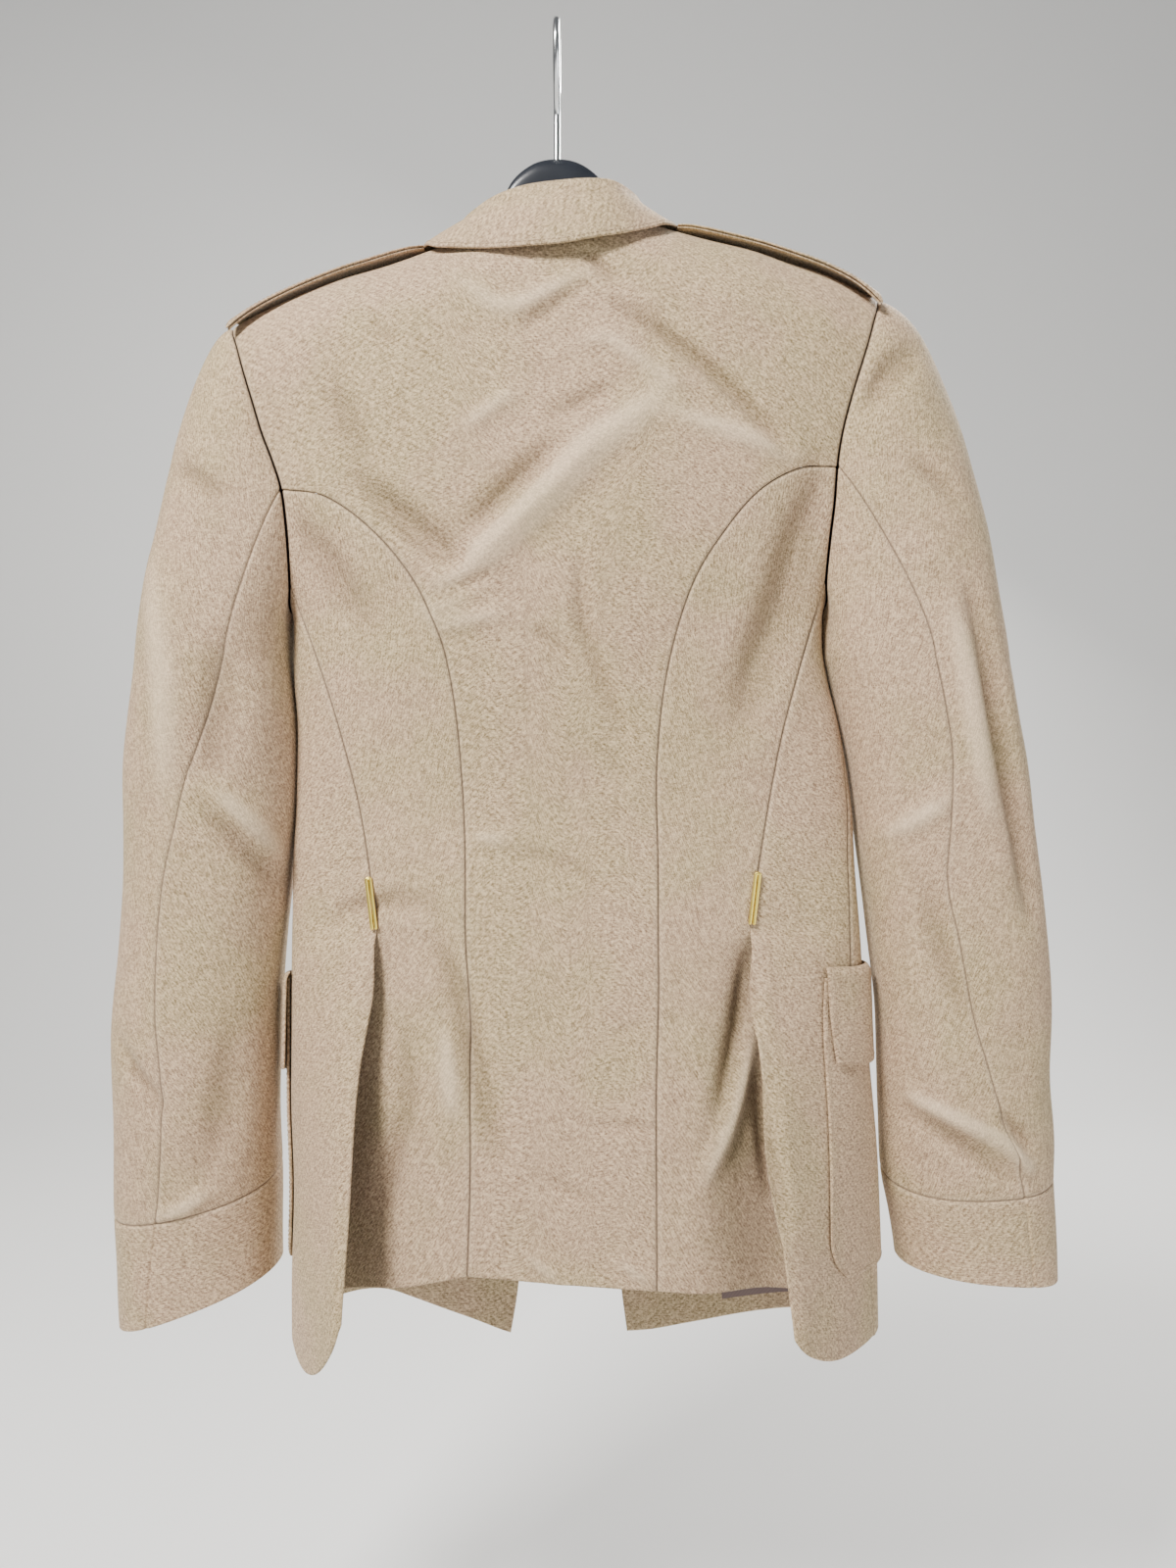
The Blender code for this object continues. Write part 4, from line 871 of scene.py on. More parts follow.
def front_place(side, row, share):
    """Angle and height on a front, at a row and a share across from the armhole or side seam to the front
    edge. Rows 0 to 13 run down the armhole, and rows 13 to 26 down the side seam."""
    hole = ARMHOLE[side][:, 2:4]
    edge = FRONT_EDGE[side]
    sign = 1 if side == "left" else -1
    at_hole = along(hole, np.clip(row, 0, UNDERARM_AT))
    at_seam = along(ROWS[side][:, 6:8], np.clip(row - UNDERARM_AT, 0, UNDERARM_AT))
    above = row < UNDERARM_AT
    outer_height = np.where(above, at_hole[..., 1], at_seam[..., 1])
    hole_angle = front_angle(at_hole[..., 0], at_hole[..., 1])
    outer_angle = np.where(above & (row < UNDERARM_AT - 0.02), hole_angle, at_seam[..., 0] - sign * SEAM_TURN)
    part = np.clip((outer_height - hole[0, 1]) / (hole[-1, 1] - hole[0, 1]), 0, 1)
    edge_height = outer_height + (edge[0, 1] - hole[0, 1]) * (1 - part) ** 1.6
    near_hem = np.clip(row - (2 * UNDERARM_AT - 1), 0, 1)
    edge_height = edge_height + (edge[-1, 1] - ROWS[side][-1, 7]) * near_hem
    edge_across = smooth(-edge[:, 1], edge[:, 0], -edge_height)
    edge_turn = front_angle(edge_across, edge_height)
    angle = outer_angle * (1 - share) + edge_turn * share
    height = outer_height * (1 - share) + edge_height * share
    straight = at_hole[..., 0] * (1 - share) + edge_across * share
    mix = np.where(row <= UNDERARM_AT, np.clip((UNDERARM_AT - row) / 5, 0, 1), 0)
    angle = front_angle(straight, height) * mix + angle * (1 - mix)
    top_level = hole[0, 1] * (1 - share) + edge[0, 1] * share
    ridge = shoulder_height(hole[0, 0] * (1 - share) + edge[0, 0] * share)
    height = height + (ridge - top_level) * np.clip(1 - row / 6, 0, 1)
    last = torso(angle, height)[..., 0]
    hem = smooth(FRONT_HEM[:, 0], FRONT_HEM[:, 1], last)
    level = ROWS[side][-1, 7] * (1 - share) + edge[-1, 1] * share
    return angle, height + (hem - level) * near_hem


def sewing_thread():
    """Brown sewing thread, matt, with a slow change of tone."""
    material, tree, shader = start_material("thread")
    spot = node(tree, "ShaderNodeTexCoord")
    noise = noise_on(tree, spot.outputs["Object"], 700, 2)
    base = mix_colours(tree, noise, (0.22, 0.150, 0.088, 1), (0.42, 0.31, 0.20, 1))
    tree.links.new(base, shader.inputs["Base Color"])
    shader.inputs["Roughness"].default_value = 0.7
    return material


THREAD = sewing_thread()
STITCH = {"pitch": 2.8, "length": 2.0, "radius": 0.27}


def inset_line(surface, normal, edge, inset):
    """Line on a grid at a distance in from one of its edges, with its normals. The edges are numbered
    first row, last row, first column, last column."""
    gap = from_edge(surface)[edge]
    if edge < 2:
        surface, normal, gap = np.swapaxes(surface, 0, 1), np.swapaxes(normal, 0, 1), gap.T
    if edge % 2:
        surface, normal, gap = surface[:, ::-1], normal[:, ::-1], gap[:, ::-1]
    line = [[np.interp(inset, g, row[:, axis]) for axis in range(3)] for g, row in zip(gap, surface)]
    ways = [[np.interp(inset, g, row[:, axis]) for axis in range(3)] for g, row in zip(gap, normal)]
    return np.array(line), np.array(ways)


def stitches(name, solid, runs, pitch, length, radius):
    """Row of stitches along each run, a line of points with normals. A stitch is a short bead, round across
    and slimmer at its two ends, that arches a little out of the cloth."""
    along_bead = np.array([-0.5, -0.4, 0.0, 0.4, 0.5])[None, :, None, None]
    size = radius * np.array([0.3, 0.85, 1.0, 0.85, 0.3])[None, :, None, None]
    turn = np.linspace(0, 2 * np.pi, 6, endpoint=False)[None, None, :, None]
    beads = []
    for line, ways in runs:
        places = np.concatenate([[0], np.cumsum(np.linalg.norm(np.diff(line, axis=0), axis=1))])
        count = max(int(places[-1] / pitch), 2)
        at = (np.arange(count) + 0.5) * places[-1] / count
        spot = np.stack([np.interp(at, places, line[:, axis]) for axis in range(3)], axis=-1)
        way = np.stack([np.interp(at, places, ways[:, axis]) for axis in range(3)], axis=-1)
        run = np.gradient(spot, axis=0)
        run /= np.linalg.norm(run, axis=1, keepdims=True)
        side = np.cross(run, way)
        side /= np.linalg.norm(side, axis=1, keepdims=True)
        run, side, way = run[:, None, None], side[:, None, None], way[:, None, None]
        middle = spot[:, None, None] + run * along_bead * length + way * (0.12 - 0.8 * along_bead**2)
        beads.append(middle + size * (np.cos(turn) * side + np.sin(turn) * way))
    points = np.concatenate(beads)
    quads = grid_faces(5, 6, closed=True)[1][:, ::-1]
    caps = np.array([[0, 1, 2, 3], [0, 3, 4, 5], [24, 27, 26, 25], [24, 29, 28, 27]])
    pattern = np.concatenate([quads, caps])
    faces = (pattern[None] + 30 * np.arange(len(points))[:, None, None]).reshape(-1, 4)
    place(new_piece(name, points, faces.tolist(), THREAD), solid)


def sewn_round(name, solid, edges, inset):
    """Topstitching along some edges of a piece, at one distance in from them."""
    surface, normal = SURFACES[solid]
    stitches(name, solid, [inset_line(surface, normal, edge, inset) for edge in edges], **STITCH)


FRONT_AT = np.concatenate([spaced(ARMHOLE["left"][:, 2:4], PANEL_STEP)[:-1], UNDERARM_AT + ROW_AT])
for side in ("left", "right"):
    outer_side = torso(*front_place(side, FRONT_AT, 0 * FRONT_AT))
    edge_side = torso(*front_place(side, FRONT_AT, 1 + 0 * FRONT_AT))
    width = np.linalg.norm(outer_side - edge_side, axis=1) * 1.05
    share = share_rows(width)
    surface = torso(*front_place(side, FRONT_AT[:, None] + 0 * share, share))
    gaps = from_edge(surface)
    lined = (gaps[3] > FACING_WIDTH) & (gaps[1] > HEM_DEPTH)
    edges = ("seam", "fold", "seam", "fold")
    torso_panel("front_" + side, surface, edges, 1, lining=lined[1:, 1:])
    sewn_round("front_edge_stitching_" + side, "front_" + side, (3,), 4.0)


# Lapels. The turned-back part of each front's facing, of the same twill. They lie on the chest from the
# break of the roll line up to the notch under the collar.

LAPEL = {
    "left": np.array(
        [
            (-20.5, -404, -26, -402),
            (-25.5, -372, -45, -366),
            (-30.5, -334, -63, -326),
            (-36, -294, -80, -287),
            (-42, -256, -95, -250),
            (-48, -222, -104, -221),
            (-52.5, -204, -84, -218),
        ]
    ),
    "right": np.array(
        [
            (28.5, -403, 34, -401),
            (31, -371, 52, -365),
            (34, -333, 68, -325),
            (37.5, -293, 84, -286),
            (41.5, -254, 97, -246),
            (46, -218, 105, -214),
            (49.5, -198, 82, -210),
        ]
    ),
}
LAPEL_PROUD = 0.8
LAPEL_SPRING = 1.6
LAPEL_NOTCH = 5
LAPEL_STEP = 2.5
for side in ("left", "right"):
    # The edge has a corner at the notch, so each run to it has a curve of its own
    below, above = LAPEL[side][: LAPEL_NOTCH + 1], LAPEL[side][LAPEL_NOTCH:]
    at_below = spaced(below[:, 2:4], LAPEL_STEP)[:-1]
    at_above = spaced(above[:, 2:4], LAPEL_STEP)
    rows = np.concatenate([along(below, at_below), along(above, at_above)])
    width = np.linalg.norm(rows[:, 0:2] - rows[:, 2:4], axis=1)
    share = share_rows(np.maximum(width, 8.0), LAPEL_STEP)
    across = rows[:, None, 0] * (1 - share) + rows[:, None, 2] * share
    heights = rows[:, None, 1] * (1 - share) + rows[:, None, 3] * share
    base = torso(front_angle(across, heights), heights)
    normal = grid_normals(base)
    normal = normal * np.sign(normal[..., 1].mean())
    proud = LAPEL_PROUD + LAPEL_SPRING * np.sin(np.pi * share * 0.5) + CLOTH_THICK
    fold, rise = worn_rise(base, normal)
    worn = base + normal * (proud + rise + 0.3 * ripple(base * 1.7))[..., None]
    outer, inner = finish_edges(worn, normal, FOLDED)
    cloth_piece("lapel_" + side, outer, inner)
    SURFACES["lapel_" + side] = worn, normal
    sewn_round("lapel_stitching_" + side, "lapel_" + side, (1, 3), 4.0)


# Collar. A stand that rises from the neck seam and a fall that rolls over it and lies on the back and the
# shoulders, topstitched close to its edge.

# Stations from the left front round the back: neck seam, fold and fall edge, each across, depth, height
COLLAR = np.array(
    [
        (-51, 44, -187, -50, 52.5, -182, -86, 53, -206),
        (-56, 38, -165, -53.5, 48, -157, -93, 47.5, -190),
        (-60, 31, -150, -56.5, 37, -138.5, -93, 41, -166),
        (-64, 18, -141, -59, 19, -129, -88.5, 26, -148),
        (-67, 0, -135.5, -60, 0, -122.5, -83, 0, -137),
        (-62, -14, -137, -57, -13, -122, -78.5, -18, -139.5),
        (-55, -24, -139, -50, -23.5, -121, -69, -34, -148),
        (-38, -34.6, -143, -36, -35.5, -118, -46, -43, -153),
        (-18, -41, -145.5, -18, -43, -115.5, -21, -52, -156),
        (3, -42.6, -146, 3, -45.5, -114, 3.6, -55, -155.5),
        (22, -40.5, -143.5, 21, -43.5, -111.5, 22, -54, -152),
        (38, -34, -139, 34.5, -37, -110, 40, -48.5, -146.5),
        (52, -22, -132.5, 46.5, -25, -111, 54.5, -39.5, -139.5),
        (59, -12, -127.5, 52, -13, -112, 66.5, -28.5, -132),
        (63, 0, -124.5, 55, 0, -113.5, 76, 0, -123.5),
        (60, 18, -131, 55, 19, -119.5, 83, 28, -136),
        (57, 31, -141, 53.5, 37, -130, 87.5, 42, -156),
        (53, 38, -157, 50.5, 48, -149, 88, 47, -181),
        (48, 44, -180, 47, 52.5, -175, 81, 53, -198),
    ]
)
# Roll of the fall over its fold: out from the fold, up from it. The fall bulges a little below that. The
# stand's top is inside and below the fold, and its two ends are a few stations short of the fall's.
COLLAR_ROLL = [(-6.0, -1.0), (-3.2, 0.0), (-1.0, -1.0), (0.0, -3.6)]
FALL_BULGE = 1.5
STAND_BELOW = (4.3, 4.5)
STAND_SHORT = 6

stations = along(COLLAR, spaced(COLLAR[:, 3:6], 2.2))
neck, fold, edge = stations[:, 0:3], stations[:, 3:6], stations[:, 6:9]
run = np.gradient(fold, axis=0)
out = np.stack([run[:, 1], -run[:, 0], 0 * run[:, 0]], axis=1)
out /= np.linalg.norm(out, axis=1, keepdims=True)
out *= np.where((out * (fold - [0, 5, -120])).sum(axis=1) < 0, -1, 1)[:, None]
up = np.cross(out, run)
up /= np.linalg.norm(up, axis=1, keepdims=True) * np.sign(up[:, 2:3])
columns = [fold + out * r + up * z for r, z in COLLAR_ROLL]
last = columns[-1]
for t in (0.25, 0.5, 0.75, 1.0):
    columns.append(last * (1 - t) + edge * t + out * FALL_BULGE * math.sin(math.pi * t))
section = np.stack(columns, axis=0)
at = spaced(section[:, len(fold) // 2], 1.6)
fall = np.swapaxes(along(section, at), 0, 1)
normal = grid_normals(fall)
middle = len(fold) // 2
normal = normal if (normal[middle, -8] * out[middle]).sum() > 0 else -normal
fall = fall + normal * (0.5 * ripple(fall * 1.6))[..., None]
outer, inner = finish_edges(fall, normal, FOLDED)
cloth_piece("collar_fall", outer, inner)
SURFACES["collar_fall"] = fall, normal
sewn_round("collar_stitching", "collar_fall", (0, 1, 3), 2.6)

seam = neck - out * GAP + [0.0, 0.0, GAP]
top = fold - out * STAND_BELOW[0] - up * STAND_BELOW[1]
rise = share_rows(np.linalg.norm(top - seam, axis=1), 2.5)[..., None]
stand = (seam[:, None] * (1 - rise) + top[:, None] * rise)[STAND_SHORT:-STAND_SHORT]
stand_out = out[STAND_SHORT:-STAND_SHORT, None, :] + 0 * stand
cloth_piece("collar_stand", stand, stand - stand_out * CLOTH_THICK)


# Sleeves. Two pieces each, a top sleeve and an under sleeve, joined along the forearm and along the
# hindarm seam that shows down the back. They hang as tubes from the armhole, and each ends in a deep cuff.

# Rings: outer across and height, inner across and height, middle depth, half depth, hindarm angle, back drop
SLEEVE = {
    "left": np.array(
        [
            (-254.5, -390, -161.7, -386, 0, 46, 109, 0),
            (-259, -422, -158.9, -418, 0, 46, 99, 0),
            (-261.8, -450, -158.4, -446, 1, 46, 91, 0),
            (-262.4, -486, -158.8, -482, 2, 45, 83, 0),
            (-263, -522, -163, -518, 3, 44, 76, 0),
            (-266, -558, -167, -552, 3, 43, 75, 0),
            (-269.6, -600, -170, -590, 3, 42, 78, 0),
            (-270, -642, -171.2, -628, 4, 41, 82, 2),
            (-271, -682, -171.8, -664, 6, 39, 81, 5),
            (-271.5, -722, -171.8, -699, 9, 37, 76, 8),
            (-270.5, -757, -171.8, -726, 11, 36, 70, 4),
            (-270, -795, -171.8, -758, 13, 35, 64, 2),
        ]
    ),
    "right": np.array(
        [
            (273.4, -390, 163, -386, 0, 47, 90, 0),
            (279, -422, 170.5, -418, 0, 47, 90, 0),
            (284.3, -450, 176.8, -446, 1, 46, 91, 0),
            (289.6, -486, 182.5, -482, 2, 45, 96, 0),
            (294, -522, 187.5, -518, 3, 44, 102, 0),
            (297.8, -558, 192, -552, 3, 43, 99, 0),
            (299.6, -600, 195.7, -592, 3, 42, 94, 0),
            (300.4, -640, 197.7, -630, 4, 40, 85, 2),
            (304, -675, 199.2, -668, 7, 39, 74, 4),
            (305, -700, 201, -702, 9, 37, 65, 7),
            (307, -733, 206, -728, 11, 36, 62, 3),
            (309.5, -767, 211, -756, 13, 35, 60.5, -1),
        ]
    ),
}
CUFF_RING = 9
CAP_LENGTH = 190.0
COLUMN_WIDTH = 12.0
CAP_PUSH = {"left": 90.0, "right": 150.0}
CAP_SWELL = 26.0
HINDARM_COLUMN = 8
FOREARM_COLUMN = 17
RING_COLUMNS = 26
COLUMN_STEP = 0.26

# Creases on the back of the sleeves, and of the same kind on their fronts
SLEEVE_CREASES = {
    "left": [
        (-2.2, 8.0, [(-226, -274), (-208, -285), (-190, -296)]),
        (-2.6, 14.0, [(-193, -382), (-194, -420), (-197, -457)]),
        (-2.2, 7.0, [(-204, -474), (-185, -496), (-164, -526)]),
        (1.8, 8.0, [(-198, -462), (-178, -484), (-162, -506)]),
        (-1.8, 6.0, [(-256, -614), (-242, -634), (-226, -654)]),
        (1.6, 6.0, [(-236, -717), (-220, -712), (-203, -701)]),
        (-1.8, 12.0, [(-190, -600), (-196, -650), (-204, -690)]),
        (1.6, 12.0, [(-236, -330), (-226, -400), (-224, -470)]),
    ],
    "right": [
        (-2.6, 12.0, [(178, -240), (196, -220), (214, -204)]),
        (-2.0, 7.0, [(208, -273), (222, -284), (235, -296)]),
        (-4.0, 8.0, [(240, -353), (248, -383), (256, -425), (264, -458), (271, -492), (277, -535)]),
        (2.0, 10.0, [(228, -360), (236, -400), (243, -440), (250, -480)]),
        (1.8, 8.0, [(195, -492), (210, -482), (227, -470)]),
        (3.4, 6.0, [(211, -646), (242, -661), (262, -672), (279, -688)]),
        (-2.4, 6.0, [(212, -660), (240, -676), (268, -695)]),
        (-2.0, 5.0, [(261, -655), (279, -678)]),
        (-2.0, 10.0, [(214, -520), (224, -560), (240, -600)]),
    ],
}
SLEEVE_FRONT_CREASES = {
    "left": [
        (-2.4, 9.0, [(-180, -300), (-205, -322), (-232, -330)]),
        (-3.0, 9.0, [(-172, -480), (-202, -492), (-236, -486)]),
        (2.0, 9.0, [(-172, -462), (-200, -472), (-232, -466)]),
        (-2.0, 8.0, [(-176, -520), (-205, -536), (-240, -530)]),
    ],
    "right": [
        (-2.4, 9.0, [(176, -292), (204, -314), (238, -322)]),
        (-3.0, 9.0, [(192, -476), (226, -490), (266, -482)]),
        (2.0, 9.0, [(192, -458), (226, -468), (262, -462)]),
        (-2.0, 8.0, [(198, -516), (232, -532), (272, -526)]),
    ],
}


def ring_points(rows, columns):
    """Rings of a sleeve at a grid of table rows and columns. Column 0 is the outer side, 8 the hindarm
    seam, 13 the inner side, and 13 to 26 the front."""
    outer_x, outer_z, inner_x, inner_z, middle, half, hind, drop = np.moveaxis(rows, -1, 0)
    to_seam = hind * columns / HINDARM_COLUMN
    to_inner = hind + (180 - hind) * (columns - HINDARM_COLUMN) / (UNDERARM_AT - HINDARM_COLUMN)
    round_front = 180 + 180 * (columns - UNDERARM_AT) / UNDERARM_AT
    turn = np.where(columns < HINDARM_COLUMN, to_seam, np.where(columns < UNDERARM_AT, to_inner, round_front))
    cosine, sine = full(np.cos(np.radians(turn))), full(np.sin(np.radians(turn)))
    share = (1 + cosine) / 2
    return np.stack(
        [
            inner_x + (outer_x - inner_x) * share,
            middle - half * sine,
            inner_z + (outer_z - inner_z) * share - drop * sine,
        ],
        axis=-1,
    )


def sleeve_surface(side, columns, cap_steps, ring_at):
    """Grid of a sleeve: the cap is a cubic from each armhole point to the first full ring, which leaves the
    armhole outwards and arrives downwards, and below it are the rings."""
    sign = -1 if side == "left" else 1
    lower = np.where(columns <= UNDERARM_AT, columns, RING_COLUMNS - columns) / UNDERARM_AT
    hole = along(ARMHOLE[side], lower * UNDERARM_AT)
    back = torso(back_angle(hole[:, 0], hole[:, 1]), hole[:, 1])
    front = torso(front_angle(hole[:, 2], hole[:, 3]), hole[:, 3])
    start = np.where((columns <= UNDERARM_AT)[:, None], back, front)
    start[:, 0] += sign * GAP
    first = ring_points(SLEEVE[side][0] + np.zeros((len(columns), 8)), columns)
    turn = np.where(columns <= UNDERARM_AT, 180 * lower, 360 - 180 * lower)
    fall = start[:, 2] - first[:, 2]
    leave = np.stack(
        [
            sign * CAP_PUSH[side] * (1 - lower) ** 1.5,
            -CAP_SWELL * np.sin(np.radians(turn)),
            -20 - 0.35 * fall * lower,
        ],
        axis=-1,
    )
    arrive = np.stack([sign * 14 * (1 - lower), 0 * lower, -0.75 * fall], axis=-1)
    t = cap_steps[:, None, None]
    cap = (
        start * (1 + 2 * t) * (1 - t) ** 2
        + first * t * t * (3 - 2 * t)
        + leave * t * (1 - t) ** 2
        - arrive * t * t * (1 - t)
    )
    rows = along(SLEEVE[side], ring_at)[:, None, :] + np.zeros((1, len(columns), 1))
    return np.concatenate([cap[:-1], ring_points(rows, columns[None, :] + np.zeros((len(ring_at), 1)))])


def sleeve_cloth(name, side, columns, cap_steps, ring_at, edges, closed=False, groove=None):
    """Creased shell of one piece of a sleeve. A groove is a seam down a piece that is modelled as a tube."""
    surface = sleeve_surface(side, columns, cap_steps, ring_at)
    normal = grid_normals(surface, closed)
    rings = SLEEVE[side][::-1]
    axis = np.interp(surface[..., 2], rings[:, 1], (rings[:, 0] + rings[:, 2]) / 2)
    away = np.stack([surface[..., 0] - axis, surface[..., 1] - 5, 0 * axis], axis=-1)
    sense = 1.0 if (normal * away)[-20:].sum() > 0 else -1.0
    normal = normal * sense
    quiet = calm(surface)
    fold = np.zeros(surface.shape[:2])
    for creases, facing in ((SLEEVE_CREASES[side], -1), (SLEEVE_FRONT_CREASES[side], 1)):
        toward = np.clip(facing * normal[..., 1] * SIDE_SHARPNESS, 0, 1)
        fold += CREASE_GAIN * crease_field(surface[..., 0], surface[..., 2], creases) * toward
    fold = fold * quiet
    worn = surface + normal * (fold + ripple(surface * 1.1) * quiet)[..., None]
    if groove is not None:
        half = RING_COLUMNS / 2
        gap = np.abs((columns[None, :] - groove + half) % RING_COLUMNS - half) * COLUMN_WIDTH
        worn = worn - normal * (SEAM_DIP * np.exp(-((gap / SEAM_REACH) ** 2)))[..., None]
    normal = grid_normals(worn, closed) * sense
    outer, inner = finish_edges(worn, normal, edges, closed)
    cloth_piece(name, outer, inner, inside=LINING, closed=closed, edges=edges, fold=fold)
    SURFACES[name] = worn, normal


def columns_between(first, last):
    """Columns of a sleeve piece between two seams, with a few close to each seam."""
    near = NEAR_EDGE / COLUMN_WIDTH
    even = np.arange(first + near[-1], last - near[-1], COLUMN_STEP)
    return np.concatenate([first + near[:-1], even, last - near[::-1]])


# Steps down the cap, rings below it, which are close together only at the cuff's seam, and rings of the cuff
CAP_AT = np.concatenate([NEAR_EDGE[:-1] / CAP_LENGTH, np.linspace(NEAR_EDGE[-1] / CAP_LENGTH, 1, 60)])
SLEEVE_AT = spaced(SLEEVE["left"][:, 0:2], 3.2, 0, CUFF_RING)
SLEEVE_AT = np.concatenate([SLEEVE_AT[:1], SLEEVE_AT[len(NEAR_EDGE) - 1 :]])
CUFF_AT = spaced(SLEEVE["left"][:, 0:2], 2.6, CUFF_RING)
for side in ("left", "right"):
    under = columns_between(HINDARM_COLUMN, FOREARM_COLUMN)
    top_columns = columns_between(FOREARM_COLUMN, RING_COLUMNS + HINDARM_COLUMN) % RING_COLUMNS
    for name, columns in (("under_sleeve_", under), ("top_sleeve_", top_columns)):
        sleeve_cloth(name + side, side, columns, CAP_AT, SLEEVE_AT, ("seam", "seam", "seam", "seam"))
    # The cuff is a tube with no cap, and its columns are close together at the hindarm seam
    near = HINDARM_COLUMN + np.array([-0.28, -0.18, -0.11, -0.05, 0.0, 0.05, 0.11, 0.18, 0.28])
    outside, inside = np.arange(0, 7.7, COLUMN_STEP), np.arange(8.5, RING_COLUMNS - 0.1, COLUMN_STEP)
    columns = np.concatenate([outside, near, inside])
    edges = ("seam", "fold", "", "")
    sleeve_cloth(
        "cuff_" + side, side, columns, np.array([1.0]), CUFF_AT, edges, closed=True, groove=HINDARM_COLUMN
    )


# Patch pockets and their flaps. Wool twill, sewn on over the side seam at the hip. The flap is sewn above
# the pocket's mouth, and its rear edge stands off the pocket.

POCKET = {
    "left": {"rear": 6.0, "front": 16.0, "top": 9.72, "bottom": 12.55, "slant": 0.3},
    "right": {"rear": 4.2, "front": 15.0, "top": 9.6, "bottom": 12.52, "slant": 1.6},
}
FLAP = {
    "left": {"rear": 5.0, "front": 16.2, "top": 9.60, "bottom": 10.88},
    "right": {"rear": 4.2, "front": 15.2, "top": 9.40, "bottom": 10.72},
}
POCKET_CORNER = {"share": 0.10, "rows": 0.26}
POCKET_PROUD = 0.5
FLAP_PROUD = 0.6
FLAP_STEP = 2.9
FLAP_SPRING = 0.5


def hip(side, row, column):
    """Points of the side panel and the front laid side by side: columns 0 to 8, then 8 to 18."""
    rear_share = np.interp(column, np.arange(9), SIDE_SHARE)
    front_share = np.interp(column - 8, np.arange(11), FRONT_SHARE)
    rear = side_place(side, row, rear_share)
    front = front_place(side, UNDERARM_AT + row, front_share)
    on_side = column < 8
    return torso(np.where(on_side, rear[0], front[0]), np.where(on_side, rear[1], front[1]))


def hip_grid(side, spec, step):
    """Grid of rows and columns over a pocket or flap, even in millimetres."""
    long = np.linspace(spec["rear"], spec["front"], 200)
    line = hip(side, 0 * long + (spec["top"] + spec["bottom"]) / 2, long)
    length = np.concatenate([[0], np.cumsum(np.linalg.norm(np.diff(line, axis=0), axis=1))])
    share = share_rows([length[-1]], step)[0]
    column = np.interp(share * length[-1], length, long)
    tall = np.linalg.norm(
        hip(side, np.array(spec["top"]), np.array(column.mean()))
        - hip(side, np.array(spec["bottom"]), np.array(column.mean()))
    )
    fall = share_rows([tall], step)[0]
    row = spec["top"] + (spec["bottom"] - spec["top"]) * fall
    return row[:, None] + 0 * column, column + 0 * row[:, None], fall[:, None], share


for side in ("left", "right"):
    row, column, fall, share = hip_grid(side, POCKET[side], 2.5)
    # The lower corners are rounded
    corner = np.clip(1 - np.minimum(share, 1 - share) / POCKET_CORNER["share"], 0, 1)
    lower = np.clip((fall - 0.4) / 0.6, 0, 1) ** 2
    row = row - POCKET_CORNER["rows"] * (1 - np.sqrt(1 - corner**2)) * lower
    column = column - POCKET[side]["slant"] * fall * (1 - share)
    base = hip(side, row, column)
    normal = outward(base, grid_normals(base))
    fold, rise = worn_rise(base, normal)
    worn = base + normal * (GAP + CLOTH_THICK + POCKET_PROUD + rise)[..., None]
    outer, inner = finish_edges(worn, normal, FOLDED)
    cloth_piece("patch_pocket_" + side, outer, inner)
    SURFACES["patch_pocket_" + side] = worn, normal
    sewn_round("pocket_stitching_" + side, "patch_pocket_" + side, (1, 2, 3), 2.4)

    row, column, fall, share = hip_grid(side, FLAP[side], 2.2)
    base = hip(side, row, column)
    normal = outward(base, grid_normals(base))
    # The flap rises over the pocket's mouth just below its own seam
    lift = GAP + (FLAP_STEP + FLAP_SPRING * fall - GAP) * np.clip(fall / 0.1, 0, 1) ** 0.6
    fold, rise = worn_rise(base, normal)
    rise = rise + 0.3 * ripple(base * 1.8)
    worn = base + normal * (lift + CLOTH_THICK + FLAP_PROUD + rise)[..., None]
    outer, inner = finish_edges(worn, normal, FOLDED)
    cloth_piece("pocket_flap_" + side, outer, inner)
    SURFACES["pocket_flap_" + side] = worn, normal
    sewn_round("flap_stitching_" + side, "pocket_flap_" + side, (1, 2, 3), 4.0)


# Shoulder straps. Two plies of twill, sewn in at the armhole and buttoned near the collar, where they end
# in a blunt point.

STRAP_WIDTH = 44.0
# Lower and upper face of each ply over the shoulder
STRAP_PLIES = {"_under_ply": (0.0, 1.5), "_cloth": (1.65, 3.2)}
STRAP_TOP = 3.2
STRAP_EDGE = {"dip": 0.55, "reach": 0.9}
STRAP_LEVEL = -250.0
BUTTON_SEAT = 3.0
BUTTON_SHARE = 0.19
STRAP_ENDS = {"left": (-79.5, -194.0), "right": (72.5, 192.0)}
STRAP_BUTTON = {"diameter": 15.0, "height": 5.0}
FRONT_BUTTON = {"diameter": 24.0, "height": 7.0, "heights": (-424.0, -499.0, -574.0, -649.0), "across": -36.0}


def metal(name, low, high, rough, scale):
    """Bare metal with a slow change of tone and fine scratches in its roughness."""
    material, tree, shader = start_material(name)
    body = node(tree, "ShaderNodeTexCoord").outputs["Object"]
    tone = noise_on(tree, body, scale, 4)
    tree.links.new(mix_colours(tree, tone, low, high), shader.inputs["Base Color"])
    worn = node(tree, "ShaderNodeMapRange")
    worn.inputs["To Min"].default_value = rough - 0.08
    worn.inputs["To Max"].default_value = rough + 0.12
    tree.links.new(noise_on(tree, body, scale * 9, 2), worn.inputs["Value"])
    tree.links.new(worn.outputs["Result"], shader.inputs["Roughness"])
    shader.inputs["Metallic"].default_value = 1.0
    return material


